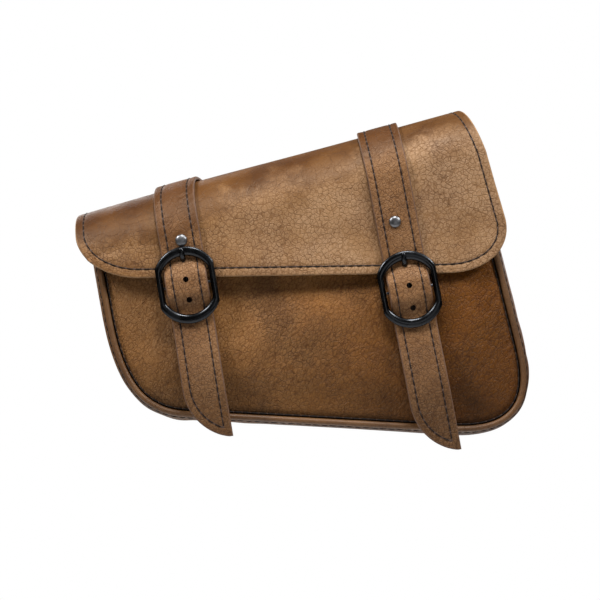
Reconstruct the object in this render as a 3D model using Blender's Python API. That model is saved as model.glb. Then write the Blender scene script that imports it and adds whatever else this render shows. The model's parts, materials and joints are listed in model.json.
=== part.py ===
"""Leather saddle bag with a slanted fold-over flap, two buckled straps and hidden magnetic clasps.

Frame: metres, +X to the right seen from the front, +Y to the back, +Z up.
The flat back of the bag lies in the plane Y = 0, so the bag fills negative Y.
The flap's fold runs uphill to the right. U runs along the fold, W is square to it in the XZ plane.
"""
import math

import bmesh
import bpy
from mathutils import Matrix, Vector

MM = 0.001
GAP = 0.3 * MM

# Fold of the flap: its slope, and the directions along and across it.
SLANT = math.radians(15.5)
U = Vector((math.cos(SLANT), 0.0, math.sin(SLANT)))
W = Vector((-math.sin(SLANT), 0.0, math.cos(SLANT)))

# Body outline at the front seam, as the corners of a four-sided panel (x, z).
TOP_LEFT = Vector((-163.0, 70.0)) * MM
LOW_LEFT = Vector((-136.0, -83.7)) * MM
LOW_RIGHT = Vector((183.0, -101.3)) * MM
TOP_RIGHT = Vector((123.5, 137.0)) * MM
LEFT_CORNER = (76.0 * MM, 46.0 * MM, 0.72)
RIGHT_CORNER = (66.0 * MM, 66.0 * MM, 0.68)
CORNER_STEPS = 14

# Layers from back to front, as distances in front of the back plane.
LEATHER = 2.6 * MM
BOARD = 1.5 * MM
BODY_DEPTH = 104.0 * MM
BACK_OVERLAP = 7.5 * MM
BOARD_INSET = 3.0 * MM
BACK_TOP = 97.0 * MM
FRONT_TOP = 78.0 * MM
BOARD_DROP = 3.0 * MM

# Gusset: (depth, how far it stands outside the front seam).
GUSSET_PROFILE = [(2.9, 6.5), (8.0, 8.2), (18.0, 9.8), (34.0, 11.0), (54.0, 11.5), (72.0, 11.0),
                  (86.0, 9.2), (95.0, 6.9), (99.8, 5.0)]
GUSSET_RISE = 13.0 * MM

PIPING_RADIUS = 2.5 * MM
PIPING_OFFSET = 3.0 * MM
PIPING_DEPTH = 102.6 * MM
PIPING_SIDES = 8

BINDING = 0.7 * MM
BINDING_HEIGHT = 10.0 * MM

# Slots in the back for two pairs of 32 mm mounting straps.
SLOT_SIZE = (34.0 * MM, 6.0 * MM)
SLOT_X = (-72.0 * MM, 78.0 * MM)
SLOT_Z = (22.0 * MM, -34.0 * MM)
SLOT_CUT_DEPTH = 6.0 * MM

# Flap: its inner face runs up the front, over an elliptical roll and back down to the fold.
FLAP_FRONT = 105.6 * MM
ROLL_START = 74.0 * MM
ROLL_DEPTH = 45.0 * MM
ROLL_HEIGHT = 36.0 * MM
ROLL_STEPS = 11
CROWN_DROP = 11.0 * MM
CROWN_STEPS = 7
FOLD_DEPTH = 2.4 * MM
FLAP_LEFT = -159.0 * MM
FLAP_RIGHT = 169.0 * MM
FLAP_EDGE_AT_ZERO = 19.7 * MM
FLAP_EDGE_SLOPE = -0.26
FLAP_LEFT_CORNER = (41.0 * MM, 32.0 * MM)
FLAP_RIGHT_CORNER = (54.0 * MM, 44.0 * MM)
FLAP_END_TAPER = 5.0 * MM
CORNER_COLUMNS = 10
ROW_GAP = 0.1 * MM
ROW_STEP = 0.02 * MM
LINING = 1.0 * MM
LINING_INSET = 1.5 * MM
FLAP_INNER = LINING + GAP
FLAP_OUTER = FLAP_INNER + LEATHER

# Straps and buckles. Each side: buckle centre (x, z), tilt from upright, the rivet's place across and
# up the strap, and tail length.
SIDES = {
    "left": {"x": -88.9 * MM, "z": 11.6 * MM, "tilt": math.radians(9.3),
             "rivet": (1.0 * MM, 35.0 * MM), "tip": 121.0 * MM},
    "right": {"x": 83.2 * MM, "z": 8.3 * MM, "tilt": math.radians(10.6),
              "rivet": (-1.4 * MM, 53.5 * MM), "tip": 129.0 * MM},
}
STRAP_HALF = 16.5 * MM
STRAP = 3.0 * MM
STRAP_INNER = FLAP_OUTER + GAP
STRAP_BACK = FLAP_FRONT + STRAP_INNER
STRAP_HUMP = 6.8 * MM
HUMP_FLAT = 4.0 * MM
HUMP_STEPS = 10
HUMP_MARGIN = 0.5 * MM
SLOPE_STEP = 0.05 * MM
STRAP_COLUMNS = (-1.0, -0.82, -0.5, 0.0, 0.5, 0.82, 1.0)
STRAP_END_MARGIN = 7.0 * MM
HOLE_RADIUS = 2.2 * MM
HOLES_AT = (4.0 * MM, -12.5 * MM)
CUT_MARGIN = 2.0 * MM
PRONG_SLOT = (8.0 * MM, 18.6 * MM)
PRONG_SLOT_HALF = 2.0 * MM
TAIL_START = 30.5 * MM
TIP_CURVE = 43.0 * MM
TIP_STEPS = 12

FRAME_HALF = (23.0 * MM, 30.0 * MM)
FRAME_SIDE = 15.5 * MM
WINDOW_HALF = (18.4 * MM, 22.8 * MM)
WINDOW_SIDE = 11.5 * MM
FRAME_CLEAR = 0.4 * MM
FRAME_BACK = STRAP_BACK + STRAP + FRAME_CLEAR
FRAME_THICK = 3.4 * MM
ARC_STEPS = 12
# The frame's section, as shares of the way inwards and of its thickness.
FRAME_SECTION = [(1.0, 0.0), (0.93, 0.0), (0.0, 0.15), (0.0, 0.85), (0.22, 1.0), (0.55, 0.90),
                 (1.0, 0.55)]

BAR_RADIUS = 1.0 * MM
BAR_HALF = WINDOW_HALF[0] - GAP
BAR_SET_IN = 0.6 * MM
BAR_DEPTH = FRAME_BACK + BAR_SET_IN

CHAPE_HALF = 14.0 * MM
CHAPE = 1.2 * MM
CHAPE_BACK = 106.2 * MM
CHAPE_JOIN = 14.0 * MM
CHAPE_END = 46.0 * MM
CHAPE_SLOT = (2.6 * MM, -5.5 * MM, 6.0 * MM)
CHAPE_TURN = (math.radians(-69.0), math.radians(121.0))
CHAPE_STEPS = 8
CHAPE_CUT = (4.0 * MM, 5.0 * MM)
MITRE_LIMIT = 0.5

PRONG_RADIUS = 1.1 * MM
PRONG_WRAP = 1.85 * MM
PRONG_WRAP_HALF = (0.5 * MM, 1.8 * MM)
PRONG_WRAP_TURN = (math.radians(45.0), math.radians(283.0))
PRONG_WRAP_STEPS = 11
PRONG_SIDES = 8
PRONG_TIP = 27.5 * MM
# The arm's stations, as shares of the way from the bar to the tip, and the radius at each.
PRONG_ARM = ((0.16, PRONG_RADIUS), (0.9, PRONG_RADIUS), (1.0, 0.6 * MM))

CLASP_DROP = 26.0 * MM
MAGNET_RADIUS = 8.0 * MM
MAGNET_THICK = 3.2 * MM
HOLE_CLEAR = 0.4 * MM
PLATE_RADIUS = 9.0 * MM
PLATE = 1.1 * MM
SHANK_RADIUS = 1.5 * MM
SHANK_HOLE = 1.8 * MM
WASHER_RADIUS = 6.0 * MM

RIVET_CAP = 4.6 * MM
RIVET_RIM = 0.5 * MM
RIVET_DOME = 2.3 * MM
RIVET_TOP = 0.4 * MM
RIVET_STEPS = 5
RIVET_SET_IN = 0.1 * MM
RIVET_WASHER = 4.0 * MM

ROUND_STEPS = 20

# name: (colour, roughness, metallic)
FINISHES = {
    "flap_leather": ((0.30, 0.17, 0.085), 0.55, 0.0),
    "body_leather": ((0.145, 0.060, 0.018), 0.45, 0.0),
    "piping_leather": ((0.20, 0.095, 0.035), 0.50, 0.0),
    "lining": ((0.055, 0.035, 0.022), 0.90, 0.0),
    "board": ((0.035, 0.035, 0.035), 0.70, 0.0),
    "gunmetal": ((0.045, 0.045, 0.05), 0.28, 1.0),
    "nickel": ((0.42, 0.41, 0.40), 0.25, 1.0),
    "magnet": ((0.30, 0.30, 0.31), 0.35, 1.0),
}


def clear_scene():
    for obj in list(bpy.data.objects):
        bpy.data.objects.remove(obj, do_unlink=True)


def make_materials():
    made = {}
    for name, (colour, roughness, metallic) in FINISHES.items():
        material = bpy.data.materials.new(name)
        material.use_nodes = True
        shader = material.node_tree.nodes["Principled BSDF"]
        shader.inputs["Base Color"].default_value = (*colour, 1.0)
        shader.inputs["Roughness"].default_value = roughness
        shader.inputs["Metallic"].default_value = metallic
        made[name] = material
    return made


def add_object(name, points, faces, material=None, smooth_angle=None):
    """Makes a closed mesh object whose faces point outwards."""
    mesh = bpy.data.meshes.new(name)
    mesh.from_pydata([tuple(p) for p in points], [], faces)
    shape = bmesh.new()
    shape.from_mesh(mesh)
    bmesh.ops.recalc_face_normals(shape, faces=shape.faces)
    shape.to_mesh(mesh)
    shape.free()
    obj = bpy.data.objects.new(name, mesh)
    bpy.context.scene.collection.objects.link(obj)
    if material:
        mesh.materials.append(material)
    if smooth_angle:
        mesh.shade_smooth()
        mesh.set_sharp_from_angle(angle=math.radians(smooth_angle))
    return obj


def tube_faces(rings, size, closed):
    """Faces of a skin over a run of rings, each with the same number of points."""
    faces = []
    spans = rings if closed else rings - 1
    for i in range(spans):
        here, there = i * size, ((i + 1) % rings) * size
        for j in range(size):
            k = (j + 1) % size
            faces.append((here + j, here + k, there + k, there + j))
    if not closed:
        faces.append(tuple(reversed(range(size))))
        last = (rings - 1) * size
        faces.append(tuple(range(last, last + size)))
    return faces


def skin(name, rings, material, closed=False, smooth_angle=None):
    """A solid swept through rings of points, capped at both ends unless it closes on itself."""
    size = len(rings[0])
    points = [p for ring in rings for p in ring]
    return add_object(name, points, tube_faces(len(rings), size, closed), material, smooth_angle)


def plate(name, outline, back, front, material=None):
    """A flat plate: an outline of (x, z) points, counter-clockwise seen from the front."""
    count = len(outline)
    points = [(x, -back, z) for x, z in outline] + [(x, -front, z) for x, z in outline]
    faces = [tuple(reversed(range(count))), tuple(range(count, 2 * count))]
    for i in range(count):
        j = (i + 1) % count
        faces.append((i, j, count + j, count + i))
    return add_object(name, points, faces, material)


def turned(name, profile, centre, material=None, smooth_angle=40):
    """A piece turned about a line along Y: the profile is a closed loop of (radius, depth)."""
    x, z = centre
    rings = []
    for i in range(ROUND_STEPS):
        angle = 2.0 * math.pi * i / ROUND_STEPS
        rings.append([(x + r * math.cos(angle), -d, z + r * math.sin(angle)) for r, d in profile])
    return skin(name, rings, material, closed=True, smooth_angle=smooth_angle)


def solid_disc(name, profile, centre, material=None, smooth_angle=40):
    """A solid round piece about a line along Y: the profile is an open run of (radius, depth)."""
    x, z = centre
    rings = []
    for r, d in profile:
        ring = []
        for i in range(ROUND_STEPS):
            angle = 2.0 * math.pi * i / ROUND_STEPS
            ring.append((x + r * math.cos(angle), -d, z + r * math.sin(angle)))
        rings.append(ring)
    return skin(name, rings, material, smooth_angle=smooth_angle)


def cut(obj, cutter):
    """Cuts obj with a cutter that stays out of the model."""
    cutter.hide_render = True
    cutter.display_type = "WIRE"
    boolean = obj.modifiers.new(cutter.name, "BOOLEAN")
    boolean.operation = "DIFFERENCE"
    boolean.object = cutter


def drill(obj, name, centre, radius, near, far):
    cutter = solid_disc(name, [(radius, near), (radius, far)], centre)
    cut(obj, cutter)


# ---------------------------------------------------------------- body outline

def corner_curve(corner, before, after, shape):
    """A rounded corner from `before` to `after`: a curve pulled towards the corner by `shape`."""
    first = before.lerp(corner, shape)
    second = after.lerp(corner, shape)
    points = []
    for i in range(CORNER_STEPS + 1):
        t = i / CORNER_STEPS
        q = 1.0 - t
        points.append(before * q ** 3 + first * (3 * q * q * t) + second * (3 * q * t * t)
                      + after * t ** 3)
    return points


def seam_path():
    """The front seam, open at the top: down the left side, along the bottom, up the right side."""
    up_left = (TOP_LEFT - LOW_LEFT).normalized()
    along = (LOW_RIGHT - LOW_LEFT).normalized()
    up_right = (TOP_RIGHT - LOW_RIGHT).normalized()
    left = corner_curve(LOW_LEFT, LOW_LEFT + up_left * LEFT_CORNER[0],
                        LOW_LEFT + along * LEFT_CORNER[1], LEFT_CORNER[2])
    right = corner_curve(LOW_RIGHT, LOW_RIGHT - along * RIGHT_CORNER[0],
                         LOW_RIGHT + up_right * RIGHT_CORNER[1], RIGHT_CORNER[2])
    return [TOP_LEFT] + left + right + [TOP_RIGHT]


def offset_path(distance):
    """The seam path moved outwards by a distance, square to itself."""
    path = seam_path()
    moved = []
    for i, point in enumerate(path):
        tangent = (path[min(i + 1, len(path) - 1)] - path[max(i - 1, 0)]).normalized()
        moved.append(point + Vector((tangent.y, -tangent.x)) * distance)
    return moved


def across(point):
    """How high a point (x, z) lies, measured square to the fold."""
    return -point[0] * math.sin(SLANT) + point[1] * math.cos(SLANT)


def at_height(start, end, height):
    """The point of a line (start, end) that lies at a height across the fold."""
    share = (height - across(start)) / (across(end) - across(start))
    return start + (end - start) * share


def body_outline(distance, height):
    """An offset seam path whose two ends are cut off level with the fold, at a height."""
    path = offset_path(distance)
    path[0] = at_height(path[0], path[1], height)
    path[-1] = at_height(path[-1], path[-2], height)
    return path


def gusset_top(depth):
    """Height of the gusset's cut edge: it rises from the front to the back, arched between."""
    share = depth / BODY_DEPTH
    level = BACK_TOP + (FRONT_TOP - BACK_TOP) * share
    return level + GUSSET_RISE * 4.0 * share * (1.0 - share)


# ---------------------------------------------------------------- flap surface

def flap_profile():
    """Knots of the flap's inner face as (length, depth, height, normal depth, normal height).

    Length is measured along the leather, upwards from the start of the roll.
    """
    centre_depth = FLAP_FRONT - ROLL_DEPTH
    run = [(FLAP_FRONT, ROLL_START)]
    for i in range(1, ROLL_STEPS + 1):
        angle = 0.5 * math.pi * i / ROLL_STEPS
        run.append((centre_depth + ROLL_DEPTH * math.cos(angle),
                    ROLL_START + ROLL_HEIGHT * math.sin(angle)))
    crown = ROLL_START + ROLL_HEIGHT
    for i in range(1, CROWN_STEPS + 1):
        share = i / CROWN_STEPS
        depth = centre_depth + (FOLD_DEPTH - centre_depth) * share
        run.append((depth, crown - CROWN_DROP * share * share))
    knots, length = [], 0.0
    for i, (depth, height) in enumerate(run):
        if i:
            length += math.hypot(depth - run[i - 1][0], height - run[i - 1][1])
        before = run[i - 1] if i else (FLAP_FRONT, ROLL_START - MM)
        after = run[min(i + 1, len(run) - 1)]
        tangent = Vector((after[0] - before[0], after[1] - before[1])).normalized()
        knots.append((length, depth, height, tangent.y, -tangent.x))
    return knots


PROFILE = flap_profile()
PROFILE_END = PROFILE[-1][0]


def on_flap(u, length, offset):
    """Position of a point of the flap: along the fold, along the leather, and off its inner face."""
    if length <= 0.0:
        return U * u + W * (ROLL_START + length) + Vector((0.0, -(FLAP_FRONT + offset), 0.0))
    index = 1
    while index < len(PROFILE) - 1 and PROFILE[index][0] < length:
        index += 1
    low, high = PROFILE[index - 1], PROFILE[index]
    share = (length - low[0]) / (high[0] - low[0])
    depth, height, out, up = (a + (b - a) * share for a, b in zip(low[1:], high[1:]))
    return U * u + W * (height + up * offset) + Vector((0.0, -(depth + out * offset), 0.0))


def flap_edge(u, inset):
    """Height of the flap's lower edge above the roll's start, at a place along the fold."""
    level = FLAP_EDGE_AT_ZERO + FLAP_EDGE_SLOPE * u - ROLL_START + inset
    left, right = FLAP_LEFT + inset, FLAP_RIGHT - inset
    for end, (run, rise) in ((left, FLAP_LEFT_CORNER), (right, FLAP_RIGHT_CORNER)):
        share = 1.0 - abs(u - end) / run
        if share > 0.0:
            level += rise * (1.0 - math.sqrt(max(0.0, 1.0 - share * share)))
    return level


def flap_columns(inset):
    """Places along the fold for the flap's columns, closer together round its corners."""
    left, right = FLAP_LEFT + inset, FLAP_RIGHT - inset
    turns = [0.5 * math.pi * i / CORNER_COLUMNS for i in range(CORNER_COLUMNS + 1)]
    curve = [1.0 - math.cos(turn) for turn in turns]
    columns = [left + FLAP_LEFT_CORNER[0] * c for c in curve]
    columns += [right - FLAP_RIGHT_CORNER[0] * c for c in reversed(curve)]
    return columns


def flap_rows(start):
    """Lengths of a column's points: from its lower edge up over the roll's own knots.

    Knots below the edge are gathered just above it, a small step apart.
    """
    rows = [start]
    for i, knot in enumerate(PROFILE):
        rows.append(max(knot[0], start + ROW_GAP + ROW_STEP * i))
    return rows


def flap_sheet(name, inner, outer, inset, material):
    """A layer of the flap: a curved sheet between two distances off the flap's inner face."""
    points, faces = [], []
    columns = flap_columns(inset)
    for u in columns:
        for length in flap_rows(flap_edge(u, inset)):
            taper = FLAP_END_TAPER * (max(length, 0.0) / PROFILE_END) * u / FLAP_RIGHT
            points.append(on_flap(u - taper, length, inner))
            points.append(on_flap(u - taper, length, outer))
    rows = len(points) // (2 * len(columns))

    def at(column, row, side):
        return 2 * (column * rows + row) + side

    for c in range(len(columns) - 1):
        for r in range(rows - 1):
            faces.append((at(c, r, 1), at(c + 1, r, 1), at(c + 1, r + 1, 1), at(c, r + 1, 1)))
            faces.append((at(c, r, 0), at(c, r + 1, 0), at(c + 1, r + 1, 0), at(c + 1, r, 0)))
        for r, order in ((0, 1), (rows - 1, 0)):
            edge = (at(c, r, 0), at(c + 1, r, 0), at(c + 1, r, 1), at(c, r, 1))
            faces.append(edge if order else tuple(reversed(edge)))
    for c, order in ((0, 0), (len(columns) - 1, 1)):
        for r in range(rows - 1):
            edge = (at(c, r, 0), at(c, r + 1, 0), at(c, r + 1, 1), at(c, r, 1))
            faces.append(tuple(reversed(edge)) if order else edge)
    return add_object(name, points, faces, material, smooth_angle=35)


# ---------------------------------------------------------------- strap frame

def local(side, across_strap, up, depth):
    """A point beside a buckle: across the strap, up along it, and in front of the back plane."""
    tilt = side["tilt"]
    return Vector((side["x"] + across_strap * math.cos(tilt) - up * math.sin(tilt), -depth,
                   side["z"] + across_strap * math.sin(tilt) + up * math.cos(tilt)))


def centre_at(side, up, across_strap=0.0):
    point = local(side, across_strap, up, 0.0)
    return point.x, point.z


def rivet_centre(side):
    across_strap, up = side["rivet"]
    return centre_at(side, up, across_strap)


def arc_circle(half, side_height):
    """Radius, and height of the centre, of the arc that tops a buckle outline."""
    width, height = half
    rise = height - side_height
    radius = (width * width + rise * rise) / (2.0 * rise)
    return radius, height - radius


def hump(across_strap, up):
    """How far the strap stands forward where it passes through the buckle and over its bar."""
    radius, centre = arc_circle(WINDOW_HALF, WINDOW_SIDE)
    end = centre + math.sqrt(radius * radius - across_strap * across_strap) - HUMP_MARGIN
    share = (abs(up) - HUMP_FLAT) / (end - HUMP_FLAT)
    return STRAP_HUMP * 0.5 * (1.0 + math.cos(math.pi * min(max(share, 0.0), 1.0)))


def strap_ring(side, up):
    """Cross-section of the strap in front of the flat front, square to the strap."""
    back, front = [], []
    step = SLOPE_STEP
    for share in STRAP_COLUMNS:
        place = share * STRAP_HALF
        rise = hump(place, up)
        slope = (hump(place, up + step) - hump(place, up - step)) / (2.0 * step)
        back.append(local(side, place, up, STRAP_BACK + rise))
        front.append(local(side, place, up, STRAP_BACK + rise + STRAP * math.hypot(1.0, slope)))
    return back + front[::-1]


def roll_ring(side, length):
    """Cross-section of the strap on the roll, level with the fold."""
    lean = SLANT - side["tilt"]
    u0 = side["x"] * math.cos(SLANT) + side["z"] * math.sin(SLANT)
    start = across((side["x"], side["z"])) - ROLL_START
    middle = u0 + (length - start) * math.tan(lean)
    half = STRAP_HALF / math.cos(lean)
    back = [on_flap(middle + share * half, length, STRAP_INNER) for share in STRAP_COLUMNS]
    front = [on_flap(middle + share * half, length, STRAP_INNER + STRAP)
             for share in STRAP_COLUMNS]
    return back + front[::-1]


def make_strap(word, side, material):
    rings = [strap_ring(side, -TAIL_START + GAP)]
    reach = WINDOW_HALF[1] - HUMP_FLAT
    stations = [-WINDOW_HALF[1] + reach * i / HUMP_STEPS for i in range(HUMP_STEPS + 1)]
    for up in stations + [-s for s in reversed(stations)]:
        rings.append(strap_ring(side, up))
    for knot in PROFILE:
        if knot[0] < PROFILE_END - STRAP_END_MARGIN:
            rings.append(roll_ring(side, knot[0]))
    rings.append(roll_ring(side, PROFILE_END - STRAP_END_MARGIN))
    strap = skin("strap_" + word, rings, material, smooth_angle=35)
    near, far = STRAP_BACK - MM, STRAP_BACK + STRAP + STRAP_HUMP + CUT_MARGIN
    for number, up in enumerate(HOLES_AT):
        name = "cut_hole_" + word + str(number)
        drill(strap, name, centre_at(side, up), HOLE_RADIUS, near, far)
    low, high = PRONG_SLOT
    half = PRONG_SLOT_HALF
    slot = [local(side, a, b, 0.0) for a, b in ((-half, low), (half, low), (half, high),
                                                (-half, high))]
    cut(strap, plate("cut_prong_slot_" + word, [(p.x, p.z) for p in slot], near, far))
    drill(strap, "cut_rivet_strap_" + word, rivet_centre(side), SHANK_HOLE, near, far)
    return strap


def tail_outline(side):
    """Outline of the free end: it curves across from its left edge to a point on its right."""
    start = TAIL_START + GAP
    bend = side["tip"] - TIP_CURVE
    outline = [(-STRAP_HALF, -start), (-STRAP_HALF, -bend)]
    for i in range(1, TIP_STEPS + 1):
        angle = 0.5 * math.pi * i / TIP_STEPS
        outline.append((STRAP_HALF - 2.0 * STRAP_HALF * math.cos(angle),
                        -bend - TIP_CURVE * math.sin(angle)))
    outline.append((STRAP_HALF, -start))
    return outline


def make_tail(word, side, material):
    outline = [local(side, a, b, 0.0) for a, b in tail_outline(side)]
    tail = plate("strap_tail_" + word, [(p.x, p.z) for p in outline], STRAP_BACK,
                 STRAP_BACK + STRAP, material)
    pivot = local(side, 0.0, -TAIL_START, STRAP_BACK + STRAP)
    tail.data.transform(Matrix.Translation(-pivot))
    tail.location = pivot
    return tail


# ---------------------------------------------------------------- buckle

def frame_loop(half, side_height):
    """Outline of the buckle: two straight sides joined by an arc at the top and at the bottom."""
    radius, centre = arc_circle(half, side_height)
    sweep = math.asin(half[0] / radius)
    loop = []
    for sign in (1, -1):
        for i in range(ARC_STEPS + 1):
            angle = sign * (-sweep + 2.0 * sweep * i / ARC_STEPS)
            loop.append((radius * math.sin(angle), sign * (centre + radius * math.cos(angle))))
    return loop


def make_frame(word, side, material):
    """The buckle's ring: a dished face with rounded edges and a flat back."""
    outer = frame_loop(FRAME_HALF, FRAME_SIDE)
    inner = frame_loop(WINDOW_HALF, WINDOW_SIDE)
    rings = []
    for (ox, oz), (ix, iz) in zip(outer, inner):
        ring = []
        for share, height in FRAME_SECTION:
            ring.append(local(side, ox + (ix - ox) * share, oz + (iz - oz) * share,
                              FRAME_BACK + FRAME_THICK * height))
        rings.append(ring)
    return skin("buckle_frame_" + word, rings, material, closed=True, smooth_angle=40)


def make_bar(word, side, material):
    rings = []
    for place in (-BAR_HALF, BAR_HALF):
        ring = []
        for i in range(ROUND_STEPS // 2):
            angle = 4.0 * math.pi * i / ROUND_STEPS
            ring.append(local(side, place, BAR_RADIUS * math.cos(angle),
                              BAR_DEPTH + BAR_RADIUS * math.sin(angle)))
        rings.append(ring)
    return skin("buckle_bar_" + word, rings, material, smooth_angle=40)


def make_prong(word, side, material):
    """The prong: flat stock curled round the bar, then a round arm up through the strap."""
    tip_depth = FRAME_BACK + FRAME_THICK + GAP + PRONG_RADIUS
    stations = []
    first, last = PRONG_WRAP_TURN
    for i in range(PRONG_WRAP_STEPS + 1):
        angle = first + (last - first) * i / PRONG_WRAP_STEPS
        stations.append((PRONG_WRAP * math.cos(angle), BAR_DEPTH + PRONG_WRAP * math.sin(angle),
                         angle, PRONG_WRAP_HALF))
    start = stations[-1]
    run = Vector((PRONG_TIP - start[0], tip_depth - start[1])).normalized()
    angle = math.atan2(run.y, run.x) + 1.5 * math.pi
    for share, radius in PRONG_ARM:
        stations.append((start[0] + (PRONG_TIP - start[0]) * share,
                         start[1] + (tip_depth - start[1]) * share, angle, (radius, radius)))
    rings = []
    for up, depth, angle, (thick, wide) in stations:
        ring = []
        for j in range(PRONG_SIDES):
            turn = 2.0 * math.pi * (j + 0.5) / PRONG_SIDES
            reach = thick * math.cos(turn)
            ring.append(local(side, wide * math.sin(turn), up + reach * math.cos(angle),
                              depth + reach * math.sin(angle)))
        rings.append(ring)
    return skin("buckle_prong_" + word, rings, material, smooth_angle=40)


def make_chape(word, side, material):
    """The strip folded round the bar: up behind it, over it, and down again in front."""
    radius = BAR_RADIUS + GAP + 0.5 * CHAPE
    back = CHAPE_BACK + 0.5 * CHAPE
    front = back + CHAPE + GAP
    path = [(-CHAPE_END, back), (-CHAPE_JOIN, back)]
    first, last = CHAPE_TURN
    for i in range(CHAPE_STEPS + 1):
        angle = first + (last - first) * i / CHAPE_STEPS
        path.append((radius * math.cos(angle), BAR_DEPTH + radius * math.sin(angle)))
    path += [(-CHAPE_JOIN, front), (-CHAPE_END, front)]
    rings = []
    for i, (up, depth) in enumerate(path):
        before = Vector(path[max(i - 1, 0)])
        after = Vector(path[min(i + 1, len(path) - 1)])
        here = Vector((up, depth))
        into = (here - before).normalized() if i else (after - here).normalized()
        out = (after - here).normalized() if i < len(path) - 1 else into
        tangent = (into + out).normalized()
        normal = Vector((-tangent.y, tangent.x))
        reach = 0.5 * CHAPE / max(normal.dot(Vector((-into.y, into.x))), MITRE_LIMIT)
        ring = []
        for place, face in ((-1, -1), (1, -1), (1, 1), (-1, 1)):
            spot = here + normal * (face * reach)
            ring.append(local(side, place * CHAPE_HALF, spot.x, spot.y))
        rings.append(ring)
    chape = skin("buckle_chape_" + word, rings, material, smooth_angle=35)
    half, low, high = CHAPE_SLOT
    slot = [local(side, a, b, 0.0) for a, b in ((-half, low), (half, low), (half, high),
                                                (-half, high))]
    behind, before = CHAPE_CUT
    cut(chape, plate("cut_chape_slot_" + word, [(p.x, p.z) for p in slot], BAR_DEPTH - behind,
                     BAR_DEPTH + before))
    drill(chape, "cut_chape_magnet_" + word, centre_at(side, -CLASP_DROP), MAGNET_RADIUS + HOLE_CLEAR,
          CHAPE_BACK - MM, CHAPE_BACK + before)
    return chape


# ---------------------------------------------------------------- pieces of the body

def make_back(materials):
    outline = [tuple(p) for p in body_outline(BACK_OVERLAP, BACK_TOP)]
    panel = plate("back_panel", outline, 0.0, LEATHER, materials["body_leather"])
    outline = [tuple(p) for p in body_outline(BACK_OVERLAP - 2.0 * BOARD_INSET, BACK_TOP - BOARD_DROP)]
    start = LEATHER + GAP
    board = plate("back_board", outline, start, start + BOARD, materials["board"])
    half_x, half_z = 0.5 * SLOT_SIZE[0], 0.5 * SLOT_SIZE[1]
    for column, x in enumerate(SLOT_X):
        for row, z in enumerate(SLOT_Z):
            corners = [(x - half_x, z - half_z), (x + half_x, z - half_z),
                       (x + half_x, z + half_z), (x - half_x, z + half_z)]
            cutter = plate("cut_slot_%d%d" % (column, row), corners, -MM, SLOT_CUT_DEPTH)
            cut(panel, cutter)
            cut(board, cutter)


def make_gusset(material):
    columns = []
    for depth, out in GUSSET_PROFILE:
        depth, out = depth * MM, out * MM
        top = gusset_top(depth)
        outer = body_outline(out, top)
        inner = body_outline(out - LEATHER, top)
        columns.append([[(p.x, -depth, p.y) for p in side] for side in (outer, inner)])
    rings = []
    for i in range(len(columns[0][0])):
        ring = [column[0][i] for column in columns] + [column[1][i] for column in reversed(columns)]
        rings.append(ring)
    return skin("gusset", rings, material, smooth_angle=35)


def make_front(materials):
    outline = [tuple(p) for p in body_outline(0.0, FRONT_TOP)]
    back = BODY_DEPTH - LEATHER
    panel = plate("front_panel", outline, back, BODY_DEPTH, materials["body_leather"])
    outline = [tuple(p) for p in body_outline(-BOARD_INSET, FRONT_TOP - BOARD_DROP)]
    board_front = back - GAP
    board = plate("front_board", outline, board_front - BOARD, board_front, materials["board"])
    for word, side in SIDES.items():
        centre = centre_at(side, -CLASP_DROP)
        near, far = board_front - BOARD - MM, BODY_DEPTH + MM
        for obj in (panel, board):
            drill(obj, "cut_" + obj.name + "_" + word, centre, SHANK_HOLE, near, far)
        face = BODY_DEPTH + GAP
        inside = board_front - BOARD - GAP
        solid_disc("clasp_plate_" + word, [(SHANK_RADIUS, inside - MM), (SHANK_RADIUS, face),
                                           (PLATE_RADIUS, face), (PLATE_RADIUS, face + PLATE)],
                   centre, materials["nickel"])
        turned("clasp_washer_" + word, [(SHANK_HOLE, inside), (WASHER_RADIUS, inside),
                                        (WASHER_RADIUS, inside - MM), (SHANK_HOLE, inside - MM)],
               centre, materials["nickel"])


def make_piping(material):
    path = body_outline(PIPING_OFFSET, FRONT_TOP - MM)
    rings = []
    for i, point in enumerate(path):
        before, after = path[max(i - 1, 0)], path[min(i + 1, len(path) - 1)]
        tangent = (after - before).normalized()
        out = Vector((tangent.y, -tangent.x))
        ring = []
        for j in range(PIPING_SIDES):
            turn = 2.0 * math.pi * j / PIPING_SIDES
            reach = PIPING_RADIUS * math.cos(turn)
            ring.append((point.x + out.x * reach, -PIPING_DEPTH + PIPING_RADIUS * math.sin(turn),
                         point.y + out.y * reach))
        rings.append(ring)
    return skin("front_piping", rings, material, smooth_angle=50)


def make_binding(material):
    """The strip folded over the front panel's top edge."""
    front_face = BODY_DEPTH + GAP
    back_face = BODY_DEPTH - LEATHER - 2.0 * GAP - BOARD
    top = FRONT_TOP + GAP
    low = FRONT_TOP - BINDING_HEIGHT
    section = [(front_face, low), (front_face + BINDING, low), (front_face + BINDING, top + BINDING),
               (back_face - BINDING, top + BINDING), (back_face - BINDING, low), (back_face, low),
               (back_face, top), (front_face, top)]
    outline = body_outline(-MM, FRONT_TOP)
    left, right = (U.dot(Vector((end.x, 0.0, end.y))) for end in (outline[0], outline[-1]))
    rings = []
    for u in (left, right):
        rings.append([U * u + W * height + Vector((0.0, -depth, 0.0)) for depth, height in section])
    return skin("mouth_binding", rings, material)


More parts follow.
